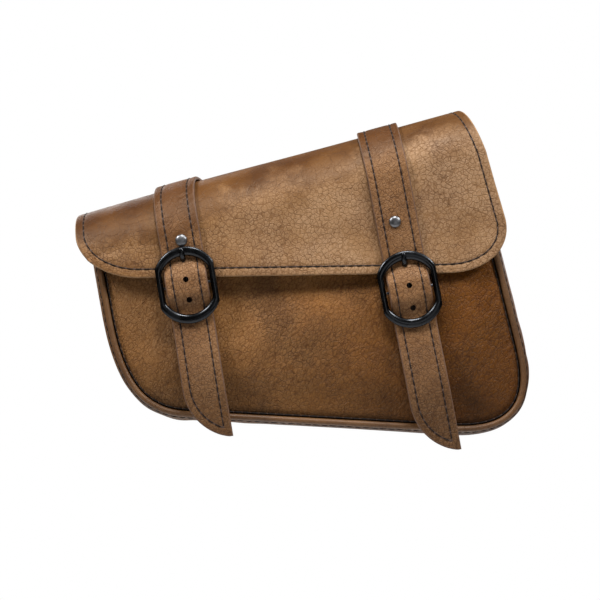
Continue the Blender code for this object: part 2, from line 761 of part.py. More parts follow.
def make_flap(materials):
    flap = flap_sheet("flap", FLAP_INNER, FLAP_OUTER, 0.0, materials["flap_leather"])
    lining = flap_sheet("flap_lining", 0.0, LINING, LINING_INSET, materials["lining"])
    near, far = FLAP_FRONT - MM, FLAP_FRONT + FLAP_OUTER + MM
    for word, side in SIDES.items():
        centre = rivet_centre(side)
        drill(flap, "cut_rivet_flap_" + word, centre, SHANK_HOLE, near, far)
        drill(lining, "cut_rivet_lining_" + word, centre, RIVET_WASHER + HOLE_CLEAR, near, far)


def make_rivet(word, side, materials):
    """A domed cap on the strap with its shank, and the washer that holds it inside the lining."""
    centre = rivet_centre(side)
    seat = STRAP_BACK + STRAP + GAP
    profile = [(SHANK_RADIUS, FLAP_FRONT + RIVET_SET_IN), (SHANK_RADIUS, seat), (RIVET_CAP, seat)]
    for i in range(RIVET_STEPS):
        angle = 0.5 * math.pi * i / RIVET_STEPS
        profile.append((RIVET_CAP * math.cos(angle), seat + RIVET_RIM + RIVET_DOME * math.sin(angle)))
    profile.append((RIVET_TOP, seat + RIVET_RIM + RIVET_DOME))
    solid_disc("rivet_cap_" + word, profile, centre, materials["nickel"])
    low, high = FLAP_FRONT + RIVET_SET_IN, FLAP_FRONT + LINING
    turned("rivet_washer_" + word, [(SHANK_HOLE, high), (RIVET_WASHER, high), (RIVET_WASHER, low),
                                    (SHANK_HOLE, low)], centre, materials["nickel"])


def make_magnet(word, side, material):
    face = BODY_DEPTH + 2.0 * GAP + PLATE
    solid_disc("clasp_magnet_" + word, [(MAGNET_RADIUS, face), (MAGNET_RADIUS, face + MAGNET_THICK)],
               centre_at(side, -CLASP_DROP), material)


def build():
    clear_scene()
    materials = make_materials()
    make_back(materials)
    make_gusset(materials["body_leather"])
    make_front(materials)
    make_piping(materials["piping_leather"])
    make_binding(materials["piping_leather"])
    make_flap(materials)
    for word, side in SIDES.items():
        make_strap(word, side, materials["flap_leather"])
        make_tail(word, side, materials["flap_leather"])
        make_frame(word, side, materials["gunmetal"])
        make_bar(word, side, materials["gunmetal"])
        make_prong(word, side, materials["gunmetal"])
        make_chape(word, side, materials["flap_leather"])
        make_magnet(word, side, materials["magnet"])
        make_rivet(word, side, materials)


build()
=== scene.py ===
import json
import math

import bmesh
import bpy
import numpy as np
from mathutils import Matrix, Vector

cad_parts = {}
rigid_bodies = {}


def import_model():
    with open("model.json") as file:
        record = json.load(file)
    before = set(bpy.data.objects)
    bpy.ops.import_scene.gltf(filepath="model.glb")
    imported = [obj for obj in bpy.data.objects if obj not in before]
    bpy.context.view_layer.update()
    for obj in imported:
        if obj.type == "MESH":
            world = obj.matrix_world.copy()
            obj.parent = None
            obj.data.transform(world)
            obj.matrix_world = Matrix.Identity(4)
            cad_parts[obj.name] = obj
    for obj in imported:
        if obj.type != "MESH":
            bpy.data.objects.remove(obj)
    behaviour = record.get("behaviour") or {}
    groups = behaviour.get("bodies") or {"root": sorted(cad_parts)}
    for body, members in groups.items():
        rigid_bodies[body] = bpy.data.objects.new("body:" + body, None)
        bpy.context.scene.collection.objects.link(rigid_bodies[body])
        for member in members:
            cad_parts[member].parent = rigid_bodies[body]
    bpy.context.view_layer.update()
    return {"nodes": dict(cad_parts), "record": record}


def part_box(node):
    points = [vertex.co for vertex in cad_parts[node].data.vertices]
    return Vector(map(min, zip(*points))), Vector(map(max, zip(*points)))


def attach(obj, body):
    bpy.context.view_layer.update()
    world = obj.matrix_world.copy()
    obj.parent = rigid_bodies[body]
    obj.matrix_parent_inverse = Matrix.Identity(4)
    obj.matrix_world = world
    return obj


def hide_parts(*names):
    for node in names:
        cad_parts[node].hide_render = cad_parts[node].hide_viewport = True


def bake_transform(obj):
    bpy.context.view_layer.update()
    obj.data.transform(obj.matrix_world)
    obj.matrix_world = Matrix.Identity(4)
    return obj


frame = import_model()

# A leather saddle bag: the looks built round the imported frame. Metres, seen from the front along +Y.
# U runs along the flap's fold and W square to it in the XZ plane. A depth is a distance in front of Y = 0.
MM = 0.001
SLANT = math.radians(15.5)
U = np.array((math.cos(SLANT), 0.0, math.sin(SLANT)))
W = np.array((-math.sin(SLANT), 0.0, math.cos(SLANT)))
FRONT = np.array((0.0, -1.0, 0.0))


def depth_of(node, side):
    """Depth of a CAD node's front or back, from its box."""
    low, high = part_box(node)
    return -low.y if side == "front" else -high.y


# ---------------------------------------------------------------- sizes

PANEL_FACE = depth_of("front_panel", "front")
LEATHER = PANEL_FACE - depth_of("front_panel", "back")
GAP = 0.3 * MM
LINING = 1.0 * MM
FLAP_FACE = depth_of("flap_lining", "front") - LINING
FLAP_INNER = LINING + GAP
FLAP_OUTER = FLAP_INNER + LEATHER
STRAP_INNER = FLAP_OUTER + GAP
STRAP = 3.0 * MM
STRAP_BACK = FLAP_FACE + STRAP_INNER
FRAME_BACK = depth_of("buckle_frame_left", "back")
FRAME_THICK = depth_of("buckle_frame_left", "front") - FRAME_BACK

ROLL_START = 74.0 * MM
ROLL_DEPTH = 45.0 * MM
ROLL_HEIGHT = 36.0 * MM
CROWN_DROP = 11.0 * MM
CROWN_END = 2.4 * MM
FOLD_RADIUS = 2.0 * MM
FOLD_FOOT = 96.8 * MM

FLAP_ENDS = (-159.0 * MM, 169.0 * MM)
FLAP_TAPER = (4.0 * MM, 7.0 * MM)
FOLD_NARROWING = (7.6 * MM, 0.0 * MM)
FLAP_EDGE = (19.7 * MM, -0.26)
FLAP_CORNERS = ((41.0 * MM, 32.0 * MM), (54.0 * MM, 44.0 * MM))

SEAM_CORNERS = [np.array(p) * MM for p in ((-163.0, 70.0), (-136.0, -83.7), (183.0, -101.3),
                                           (123.5, 137.0))]
SEAM_ROUNDING = ((76.0 * MM, 46.0 * MM, 0.72), (66.0 * MM, 66.0 * MM, 0.68))
FRONT_TOP = 78.0 * MM
BACK_TOP = 97.0 * MM
BACK_OVERLAP = 7.5 * MM
GUSSET_PROFILE = [(2.9, 6.5), (8.0, 8.2), (18.0, 9.8), (34.0, 11.0), (54.0, 11.5), (72.0, 11.0),
                  (86.0, 9.2), (95.0, 6.9), (99.8, 5.0)]
GUSSET_RISE = 13.0 * MM
FRONT_DOME = 4.2 * MM
MOUTH_DIP = 1.8 * MM
CLASP_DOWN = 26.0 * MM
CLASP_CLEAR = 9.5 * MM
PIPING_DEPTH = 102.6 * MM
PIPING_RADIUS = 2.45 * MM
PIPING_OUT = 3.0 * MM
SLOT_HALF = (17.0 * MM, 3.0 * MM)

SIDES = {
    "left": {"x": -88.9 * MM, "z": 11.6 * MM, "tilt": math.radians(9.3), "tip": 121.0 * MM,
             "rivet": (1.0 * MM, 35.0 * MM), "holes": (20.2 * MM, 4.3 * MM, -11.6 * MM)},
    "right": {"x": 83.2 * MM, "z": 8.3 * MM, "tilt": math.radians(10.6), "tip": 129.0 * MM,
              "rivet": (-1.4 * MM, 53.5 * MM), "holes": (19.6 * MM, 3.0 * MM, -14.6 * MM)},
}
STRAP_HALF = 16.5 * MM
STRAP_HUMP = 6.8 * MM
HUMP_FLAT = 4.0 * MM
TIP_CURVE = 43.0 * MM
HOLE_RADIUS = 2.2 * MM
TAIL_BEND = (-26.5 * MM, -38.0 * MM)
STRAP_FROM_FOLD = 17.0 * MM
FRAME_HALF = (23.0 * MM, 30.0 * MM)
FRAME_SIDE = 15.5 * MM
WINDOW_HALF = (18.4 * MM, 22.8 * MM)
WINDOW_SIDE = 11.5 * MM

STITCH_PITCH = 6.6 * MM
STITCH_LENGTH = 5.5 * MM
THREAD = 0.50 * MM
REST_PLACE = "rest_place"
EDGE_BAND = 1.0 * MM
GROOVE = 0.45 * MM
FLAP_STITCH_INSET = 6.8 * MM
STRAP_STITCH_INSET = 6.1 * MM
BACK_STITCH_INSET = 5.0 * MM
GUSSET_STITCH_INSET = 5.2 * MM
SLOT_STITCH_OUT = 4.5 * MM


# ---------------------------------------------------------------- materials

SLANT_OF_CREASES = math.radians(35.0)
DIM = (0.3, 0.3, 0.3)
BRIGHT = (0.7, 0.7, 0.7)


class Shader:
    """A Principled material built up from procedural nodes.

    Textures follow the place that each point has at rest, so that they don't slide when a piece bends.
    """

    def __init__(self, name, colour, roughness, metallic=0.0, rigid=False):
        self.material = bpy.data.materials.new(name)
        self.material.use_nodes = True
        self.nodes = self.material.node_tree.nodes
        self.links = self.material.node_tree.links
        self.surface = self.nodes["Principled BSDF"]
        self.surface.inputs["Base Color"].default_value = (*colour, 1.0)
        self.surface.inputs["Roughness"].default_value = roughness
        self.surface.inputs["Metallic"].default_value = metallic
        if rigid:
            self.place = self.add("TexCoord", {}, "Object")
        else:
            self.place = self.add("Attribute", {}, "Vector", attribute_name=REST_PLACE)

    def add(self, kind, inputs, output, **settings):
        """A new node's output. Its inputs are constants or other nodes' outputs."""
        node = self.nodes.new("ShaderNode" + kind)
        for setting, value in settings.items():
            setattr(node, setting, value)
        for socket, value in inputs.items():
            if isinstance(value, bpy.types.NodeSocket):
                self.links.new(value, node.inputs[socket])
            else:
                node.inputs[socket].default_value = value
        return node.outputs[output]

    def stretched(self, turn, scale):
        """Places turned about Y, then stretched, for streaks and folds."""
        return self.add("Mapping", {"Vector": self.place, "Rotation": (0.0, turn, 0.0), "Scale": scale},
                        "Vector", vector_type="TEXTURE")

    def noise(self, scale, detail=3.0, roughness=0.5, distortion=0.0, place=None, output="Fac"):
        return self.add("TexNoise", {"Vector": place or self.place, "Scale": scale, "Detail": detail,
                                     "Roughness": roughness, "Distortion": distortion}, output)

    def wandering(self, scale, amount, place=None):
        """Places pushed about by noise, so that cells lose their straight edges."""
        push = self.noise(scale, 2.0, place=place, output="Color")
        push = self.add("VectorMath", {0: push, 1: (0.5, 0.5, 0.5)}, 0, operation="SUBTRACT")
        return self.add("VectorMath", {0: push, 1: (amount, amount, amount), 2: place or self.place}, 0,
                        operation="MULTIPLY_ADD")

    def creases(self, scale, place, width):
        """Lines between cells: 0 in the crease, rising smoothly to 1 on the cell."""
        distance = self.add("TexVoronoi", {"Vector": place, "Scale": scale}, "Distance",
                            feature="DISTANCE_TO_EDGE")
        return self.grey(distance, 0.0, 1.0, 0.0, width, "SMOOTHSTEP")

    def along(self, direction):
        """Distance along a direction, in metres."""
        return self.add("VectorMath", {0: self.place, 1: tuple(direction)}, "Value",
                        operation="DOT_PRODUCT")

    def ramp(self, value, *stops):
        """A colour that runs through (position, colour) stops."""
        output = self.add("ValToRGB", {"Fac": value}, "Color")
        elements = output.node.color_ramp.elements
        while len(elements) < len(stops):
            elements.new(0.5)
        for element, (position, colour) in zip(elements, stops):
            element.position = position
            element.color = (*colour, 1.0)
        return output

    def grey(self, value, low, high, start=0.0, end=1.0, way="LINEAR"):
        """A value mapped from start..end to low..high, held at the ends."""
        return self.add("MapRange", {"Value": value, "From Min": start, "From Max": end, "To Min": low,
                                     "To Max": high}, "Result", interpolation_type=way)

    def maths(self, operation, first, second):
        return self.add("Math", {0: first, 1: second}, 0, operation=operation)

    def times(self, first, second):
        return self.maths("MULTIPLY", first, second)

    def plus(self, first, second):
        return self.maths("ADD", first, second)

    def mix(self, blend, share, first, second):
        node = self.nodes.new("ShaderNodeMix")
        node.data_type = "RGBA"
        node.blend_type = blend
        for socket, value in (("Factor", share), ("A", first), ("B", second)):
            target = [s for s in node.inputs if s.name == socket and s.enabled][0]
            if isinstance(value, bpy.types.NodeSocket):
                self.links.new(value, target)
            else:
                target.default_value = value if socket == "Factor" else (*value, 1.0)
        return [s for s in node.outputs if s.enabled][0]

    def bump(self, height, distance, below=None):
        inputs = {"Distance": distance, "Height": height}
        if below is not None:
            inputs["Normal"] = below
        return self.add("Bump", inputs, "Normal")

    def finish(self, colour=None, roughness=None, normal=None):
        for value, socket in ((colour, "Base Color"), (roughness, "Roughness"), (normal, "Normal")):
            if value is not None:
                self.links.new(value, self.surface.inputs[socket])
        return self.material


def shade_of(colour, share):
    """A colour made darker or lighter, up to white."""
    return tuple(min(1.0, c * share) for c in colour)


def grained_leather(name, tones, pale, pebble, crease, depth, pull=0.3 * MM, gloss=0.4,
                    tint=(1.0, 0.90, 0.80), smooth_shaded_above=None, painted_shade_below=1.0, painted_light_sides=None,
                    lean=1.25, rigid=False):
    """Tumbled leather: pebbles between fine creases, over softly mottled dye.

    tones are its dark, middle and light dyes and pale the colour of its pebbles' tops, rubbed lighter and
    partly a painted sheen. pebble is their size, crease the darkness of the painted shade in the lines
    between them, depth their relief and pull that of the slanting creases. Above smooth_shaded_above, a
    height across the fold, the leather is stretched smooth and painted darker, as shade where the roll
    turns up from the lights. painted_shade_below is how much of its lightness is left at the bag's foot,
    painted shade as the light falls off downwards, and painted_light_sides holds tints at the left and
    right that paint the sheen and shade across the bag. lean is how much longer its creases are along
    their slant than across it.
    """
    s = Shader(name, tones[1], 0.5, rigid=rigid)
    patches = s.noise(30.0, 3.0, 0.6)
    active = s.grey(patches, 0.70, 1.0, 0.36, 0.62)
    rub_and_sheen = s.grey(s.noise(24.0, 3.0, 0.6, 0.3), 0.45, 1.0, 0.36, 0.60)
    cloud = s.noise(20.0, 4.0, 0.5, 0.4)
    colour = s.ramp(cloud, (0.36, tones[0]), (0.50, tones[1]), (0.64, tones[2]))
    # Above a height across the fold the grain is smoothed and the colour darkened: painted shade where the
    # roll turns up, away from the lights.
    if smooth_shaded_above is not None:
        level = s.plus(s.along(W), s.grey(patches, -0.016, 0.016, 0.3, 0.7))
        front = s.grey(level, 1.0, 0.0, smooth_shaded_above - 0.016, smooth_shaded_above + 0.014, "SMOOTHSTEP")
        active = s.times(active, s.grey(front, 0.30, 1.0))
        rub_and_sheen = s.times(rub_and_sheen, front)
        colour = s.mix("MULTIPLY", s.grey(front, 0.85, 0.0), colour, (0.45, 0.37, 0.28))
    pulled = s.stretched(SLANT_OF_CREASES, (1.0, 1.0, lean))
    big = s.creases(1.0 / pebble, s.wandering(150.0, 0.0021, pulled), 0.155)
    small = s.creases(1.9 / pebble, s.wandering(200.0, 0.0011, pulled), 0.16)
    long = s.creases(0.30 / pebble, s.wandering(75.0, 0.0110), 0.032)
    height = s.plus(s.times(big, 0.60), s.times(small, 0.25))
    height = s.plus(s.times(height, active), s.times(long, 0.35))
    ripples = s.noise(190.0, 4.0, 0.65, 0.5, s.stretched(SLANT_OF_CREASES, (1.0, 1.0, 3.2)))
    normal = s.bump(height, depth, s.bump(ripples, pull))
    normal = s.bump(s.noise(3000.0, 2.0), 0.02 * MM, normal)

    # Pebble tops are lightened towards pale: rubbed wear, and partly a painted sheen.
    top = s.times(s.times(s.grey(big, 0.5, 1.0), s.grey(small, 0.6, 1.0)), rub_and_sheen)
    colour = s.mix("MIX", s.times(top, 0.8), colour, pale)
    # The valleys between pebbles and along the creases are darkened: painted shade.
    deep = s.times(active, s.grey(s.noise(260.0, 2.0), 0.35, 1.0, 0.35, 0.62))
    valley = s.times(s.maths("SUBTRACT", 1.0, big), deep)
    for lines, share in ((small, 0.25), (long, 0.55)):
        valley = s.plus(valley, s.times(s.maths("SUBTRACT", 1.0, lines), share))
    shade = s.maths("MINIMUM", s.times(valley, crease), 0.80)
    colour = s.mix("MULTIPLY", shade, colour, (0.42, 0.32, 0.24))
    colour = s.mix("OVERLAY", 0.16, colour, s.ramp(s.noise(700.0, 3.0, 0.6), (0.35, DIM), (0.65, BRIGHT)))
    # Tints at the left and right paint the sheen and shade that the lights cast across the bag.
    if painted_light_sides is not None:
        across = s.grey(s.along((1.0, 0.0, 0.0)), 0.0, 1.0, -0.150, 0.150, "SMOOTHSTEP")
        tints = s.ramp(across, (0.0, painted_light_sides[0]), (0.45, (1.0, 1.0, 1.0)), (1.0, painted_light_sides[1]))
        colour = s.mix("MULTIPLY", 1.0, colour, tints)
    # Darker towards the foot: painted shade, as the light falls off downwards.
    foot = s.grey(s.along((0.0, 0.0, 1.0)), 1.0, 0.0, -0.105, 0.005, "SMOOTHSTEP")
    colour = s.mix("MULTIPLY", foot, colour, (painted_shade_below, 0.97 * painted_shade_below, 0.92 * painted_shade_below))
    rough = s.plus(s.grey(s.noise(55.0, 4.0), 0.52, 0.40, 0.35, 0.65), s.times(shade, 0.15))
    s.surface.inputs["Specular IOR Level"].default_value = gloss
    s.surface.inputs["Specular Tint"].default_value = (*tint, 1.0)
    return s.finish(colour, rough, normal)


def edge_leather(name, colour):
    """The cut edge: fibres in layers along the sheet, dyed unevenly."""
    s = Shader(name, colour, 0.65)
    layers = s.noise(500.0, 4.0, 0.7, 0.5)
    fibre = s.noise(2200.0, 3.0, 0.6)
    tone = s.ramp(layers, (0.30, shade_of(colour, 0.45)), (0.52, colour), (0.72, shade_of(colour, 1.35)))
    return s.finish(tone, s.grey(fibre, 0.55, 0.8), s.bump(s.plus(layers, fibre), 0.10 * MM))


def metal(name, colour, roughness, rigid=False):
    """Plated metal, polished, with faint smudges and hairline wear."""
    s = Shader(name, colour, roughness, 1.0, rigid)
    hair = s.noise(900.0, 3.0, 0.6, 0.0, s.stretched(math.radians(20.0), (12.0, 1.0, 1.0)))
    smudge = s.noise(90.0, 3.0, 0.6)
    rough = s.plus(s.grey(smudge, roughness * 0.85, roughness * 1.35, 0.35, 0.65),
                   s.grey(hair, 0.0, 0.05, 0.58, 0.75))
    tone = s.mix("MIX", s.grey(smudge, 0.0, 0.6, 0.4, 0.7), colour, shade_of(colour, 1.4))
    return s.finish(tone, rough, s.bump(hair, 0.0015 * MM))


def thread_finish(name, colour):
    """Waxed thread: two plies twisted round each other."""
    s = Shader(name, colour, 0.6)
    s.surface.inputs["Specular IOR Level"].default_value = 0.15
    ply = s.noise(2400.0, 2.0, 0.5, 0.3, s.stretched(math.radians(45.0), (1.0, 1.0, 2.9)))
    tone = s.ramp(ply, (0.35, shade_of(colour, 0.5)), (0.65, shade_of(colour, 1.9)))
    return s.finish(tone, s.grey(ply, 0.55, 0.75), s.bump(ply, 0.08 * MM))


def brushed_cloth(name, colour, rigid=False):
    """Brushed lining cloth."""
    s = Shader(name, colour, 0.92, rigid=rigid)
    nap = s.noise(1300.0, 4.0, 0.7)
    tone = s.ramp(s.noise(40.0, 3.0), (0.35, shade_of(colour, 0.7)), (0.65, shade_of(colour, 1.3)))
    tone = s.mix("OVERLAY", 0.4, tone, s.ramp(nap, (0.3, DIM), (0.7, BRIGHT)))
    s.surface.inputs["Sheen Weight"].default_value = 0.25
    return s.finish(tone, s.grey(nap, 0.85, 1.0), s.bump(nap, 0.15 * MM))


FLAP_DYES = ((0.116, 0.048, 0.014), (0.174, 0.081, 0.026), (0.232, 0.117, 0.042))
STRAP_DYES = ((0.092, 0.036, 0.011), (0.130, 0.055, 0.017), (0.168, 0.075, 0.026))
STRAP_PALE = (0.215, 0.112, 0.050)
BODY_DYES = ((0.078, 0.030, 0.008), (0.158, 0.062, 0.014), (0.235, 0.098, 0.023))
PIPING_DYES = ((0.048, 0.018, 0.005), (0.073, 0.029, 0.008), (0.100, 0.044, 0.013))
# Near-black chape leather: painted shade, where the buckle's window and the strap's holes show only
# shadow.
CHAPE_SHADE_DYES = ((0.010, 0.004, 0.002), (0.016, 0.007, 0.003), (0.026, 0.012, 0.005))
PIPING_PALE = (0.110, 0.053, 0.019)
# The flap's pale for its pebble tops is whitened to paint its sheen.
FLAP_PALE_SHEEN = (0.300, 0.182, 0.100)
BODY_PALE = (0.215, 0.104, 0.036)
LINING_DYE = (0.075, 0.045, 0.026)
WARM = (1.0, 0.82, 0.62)
FLAP_LEATHER = grained_leather("flap_leather_finish", FLAP_DYES, FLAP_PALE_SHEEN, 3.1 * MM, 0.62,
                               0.30 * MM, gloss=0.32, tint=WARM, smooth_shaded_above=0.088,
                               painted_light_sides=((0.80, 0.72, 0.58), (0.90, 0.91, 0.94)))
STRAP_LEATHER = grained_leather("strap_leather_finish", STRAP_DYES, STRAP_PALE, 2.6 * MM, 0.70,
                                0.34 * MM, pull=0.9 * MM, gloss=0.32, tint=WARM, smooth_shaded_above=0.084,
                                painted_shade_below=0.58, painted_light_sides=((1.0, 0.98, 0.94), (0.90, 0.87, 0.82)))
BODY_LEATHER = grained_leather("body_leather_finish", BODY_DYES, BODY_PALE, 2.3 * MM, 0.70,
                               0.44 * MM, pull=1.6 * MM, lean=1.9, gloss=0.22, tint=(1.0, 0.80, 0.60),
                               painted_shade_below=0.52, painted_light_sides=((0.92, 0.96, 1.10), (0.54, 0.39, 0.11)))
PIPING_LEATHER = grained_leather("piping_leather_finish", PIPING_DYES, PIPING_PALE, 2.0 * MM, 0.35,
                                 0.12 * MM)
CHAPE_SHADED_LEATHER = grained_leather("chape_painted_shade_finish", CHAPE_SHADE_DYES, CHAPE_SHADE_DYES[2], 2.7 * MM, 0.75,
                                0.30 * MM, rigid=True)
BINDING_LEATHER = grained_leather("binding_leather_finish", PIPING_DYES, PIPING_PALE, 2.0 * MM, 0.35,
                                  0.12 * MM, rigid=True)
CUT_EDGE = edge_leather("cut_edge_finish", (0.225, 0.116, 0.042))
DARK_EDGE = edge_leather("dark_edge_finish", (0.085, 0.036, 0.013))
THREAD_FINISH = thread_finish("thread_finish", (0.009, 0.006, 0.005))
# Colour of the discs that paint the shade in the stitch holes.
AWL_HOLE_SHADE = edge_leather("awl_hole_shade_finish", (0.040, 0.016, 0.006))
GUNMETAL = metal("gunmetal_finish", (0.024, 0.025, 0.027), 0.24)
BAR_METAL = metal("bar_finish", (0.030, 0.031, 0.034), 0.34, rigid=True)
NICKEL = metal("nickel_finish", (0.13, 0.13, 0.135), 0.33)
CLASP_METAL = metal("clasp_finish", (0.40, 0.39, 0.38), 0.28, rigid=True)
LINING_CLOTH = brushed_cloth("lining_finish", LINING_DYE)
BOARD_CLOTH = brushed_cloth("board_finish", LINING_DYE, rigid=True)


# ---------------------------------------------------------------- mesh helpers

def add_mesh(name, points, faces, materials, marks=None, smooth=50.0):
    """A mesh object with outward faces. Marks give each face its material's number."""
    mesh = bpy.data.meshes.new(name)
    mesh.from_pydata([tuple(p) for p in points], [], faces)
    for material in materials:
        mesh.materials.append(material)
    if marks is not None:
        mesh.polygons.foreach_set("material_index", marks)
    shape = bmesh.new()
    shape.from_mesh(mesh)
    bmesh.ops.recalc_face_normals(shape, faces=shape.faces)
    shape.to_mesh(mesh)
    shape.free()
    mesh.shade_smooth()
    mesh.set_sharp_from_angle(angle=math.radians(smooth))
    obj = bpy.data.objects.new(name, mesh)
    bpy.context.scene.collection.objects.link(obj)
    return obj


def ring_faces(rings, size, base=0, closed=True):
    """Four-sided faces between each run of size points and the next. Closed runs are rings."""
    faces = []
    for r in range(rings - 1):
        for c in range(size if closed else size - 1):
            a, b = base + r * size + c, base + r * size + (c + 1) % size
            faces.append((a, b, b + size, a + size))
    return faces


def ring_skin(rings, size, base=0):
    """Faces of a solid: rings of points one after another, closed at both ends."""
    last = base + (rings - 1) * size
    return ring_faces(rings, size, base) + [tuple(range(base, base + size)),
                                            tuple(range(last, last + size))]


def leather_sheet(name, front, back, materials, distance=None, closed=False):
    """A sheet of leather from two grids of points. Its rim takes the last material.

    Given each point's distance from the cut edge, the rounded part of the front does so too. A closed
    sheet's rows are rings, from its rim to a short ridge in its middle.
    """
    rows, columns = front.shape[:2]
    points = np.concatenate([front.reshape(-1, 3), back.reshape(-1, 3)])
    size = rows * columns
    last = len(materials) - 1
    faces = ring_faces(rows, columns, closed=closed)
    marks = [0] * len(faces)
    if distance is not None:
        near = (distance[:-1, :-1] + distance[:-1, 1:] + distance[1:, :-1] + distance[1:, 1:]) / 4.0
        marks = [last if edge else 0 for edge in (near < EDGE_BAND).ravel()]
    faces += [(size + a, size + d, size + c, size + b) for a, b, c, d in faces]
    marks += [0] * (len(faces) - len(marks))
    rim = list(range(columns))
    if closed:
        ridge = range(size - columns, size)
        faces += [tuple(ridge), tuple(size + c for c in ridge)]
        marks += [0, 0]
    else:
        rim += [r * columns + columns - 1 for r in range(1, rows)]
        rim += [size - columns + c for c in range(columns - 2, -1, -1)]
        rim += [r * columns for r in range(rows - 2, 0, -1)]
    faces += [(a, b, size + b, size + a) for a, b in zip(rim, rim[1:] + rim[:1])]
    return add_mesh(name, points, faces, materials, marks + [last] * len(rim))


def tube(name, rings, materials, closed=False, smooth=60.0):
    """A solid skinned over rings of points."""
    size = len(rings[0])
    faces = ring_faces(len(rings), size) if closed else ring_skin(len(rings), size)
    if closed:
        last = (len(rings) - 1) * size
        faces += [(last + j, last + (j + 1) % size, (j + 1) % size, j) for j in range(size)]
    return add_mesh(name, [p for ring in rings for p in ring], faces, materials, smooth=smooth)


def cut_away(obj, rings, material):
    """Cuts a tube through a piece."""
    cutter = tube("cutter", rings, [material])
    boolean = obj.modifiers.new("cut", "BOOLEAN")
    boolean.operation = "DIFFERENCE"
    boolean.object = cutter
    apply_modifiers(obj)
    bpy.data.objects.remove(cutter)


def apply_modifiers(obj):
    graph = bpy.context.evaluated_depsgraph_get()
    mesh = bpy.data.meshes.new_from_object(obj.evaluated_get(graph))
    obj.modifiers.clear()
    obj.data = mesh


def shaded(obj, angle=45.0):
    obj.data.shade_smooth()
    obj.data.set_sharp_from_angle(angle=math.radians(angle))


def turns(count, shift=0.0):
    """Angles all the way round, evenly spaced."""
    return 2.0 * math.pi * (np.arange(count) + shift) / count


def smoothstep(value):
    value = np.clip(value, 0.0, 1.0)
    return value * value * (3.0 - 2.0 * value)


def edge_distance(points, line):
    """Distance of each 2-D point from a run of line segments."""
    nearest = np.full(len(points), 1e9)
    for a, b in zip(line[:-1], line[1:]):
        along = b - a
        t = np.clip(((points - a) @ along) / max(along @ along, 1e-18), 0.0, 1.0)
        nearest = np.minimum(nearest, np.linalg.norm(points - a - t[:, None] * along, axis=1))
    return nearest


def run_length(line):
    """Length along a run of points, at each of them."""
    steps = np.linalg.norm(np.diff(line, axis=0), axis=1)
    return np.concatenate([[0.0], np.cumsum(steps)])


def points_at(line, run, at):
    """Points of a run at given lengths along it."""
    return np.stack([np.interp(at, run, line[:, i]) for i in range(line.shape[1])], axis=-1)


def even_points(line, pitch=1.0 * MM, count=None):
    """Points spaced evenly along a run of points, by their pitch or their count."""
    line = np.asarray(line, float)
    run = run_length(line)
    count = count or max(2, int(round(run[-1] / pitch)) + 1)
    return points_at(line, run, np.linspace(0.0, run[-1], count))


def unit(vectors):
    return vectors / np.linalg.norm(vectors, axis=-1, keepdims=True)


def inset_line(line, distance):
    """A 2-D run of points moved sideways, to the left of its direction for a positive distance."""
    tangent = unit(np.gradient(line, axis=0))
    distance = np.broadcast_to(distance, len(line))[:, None]
    return line + np.stack([-tangent[:, 1], tangent[:, 0]], axis=1) * distance


def soft_edge(distance, radius=1.2 * MM):
    """How far a leather face falls away at its rounded cut edge."""
    near = np.clip(1.0 - distance / radius, 0.0, 1.0)
    return radius * (1.0 - np.sqrt(1.0 - near * near))


def stitch_groove(distance, inset, depth=GROOVE, width=1.5 * MM):
    """The furrow that a row of stitches pulls into the leather."""
    return depth * np.exp(-((distance - inset) / width) ** 2)


def sew(name, line, outward, mark=1.0):
    """A row of stitches on a run of surface points, and a dark disc at each end of a stitch: painted shade
    for its pricked hole.
    """
    run = run_length(line)
    count = int(run[-1] / STITCH_PITCH)
    margin = 0.5 * (run[-1] - count * STITCH_PITCH)

    def frame_at(at):
        """The place at a length along the row, with the directions along, off and across the leather."""
        along = unit(points_at(line, run, at + 0.5 * MM) - points_at(line, run, at - 0.5 * MM))
        normal = unit(points_at(outward, run, at))
        return points_at(line, run, at), along, normal, np.cross(along, normal)

    points, faces = [], []
    shares = (0.0, 0.08, 0.25, 0.5, 0.75, 0.92, 1.0)
    for i in range(count):
        start = margin + i * STITCH_PITCH + 0.5 * (STITCH_PITCH - STITCH_LENGTH)
        faces += ring_skin(len(shares), 6, len(points))
        for share in shares:
            spot, _, normal, across = frame_at(start + share * STITCH_LENGTH)
            swell = math.sin(math.pi * share) ** 0.5
            thick = THREAD * (0.6 + 0.4 * swell)
            for angle in turns(6):
                points.append(spot + normal * (THREAD * (swell - 0.5) + thick * math.sin(angle))
                              + across * (1.1 * thick * math.cos(angle)))
    threads = len(faces)
    # Dark discs at the stitch holes: painted shade of the holes.
    for i in range(count + 1):
        spot, along, normal, across = frame_at(margin + i * STITCH_PITCH)
        faces += ring_skin(3, 10, len(points))
        for size, rise in ((1.0, -0.5), (1.0, 0.02), (0.6, 0.20)):
            for angle in turns(10):
                points.append(spot + along * (1.25 * MM * mark * size * math.cos(angle))
                              + across * (0.95 * MM * mark * size * math.sin(angle))
                              + normal * rise * MM)
    marks = [0] * threads + [1] * (len(faces) - threads)
    return add_mesh(name, points, faces, [THREAD_FINISH, AWL_HOLE_SHADE], marks)


# ---------------------------------------------------------------- the flap's surface

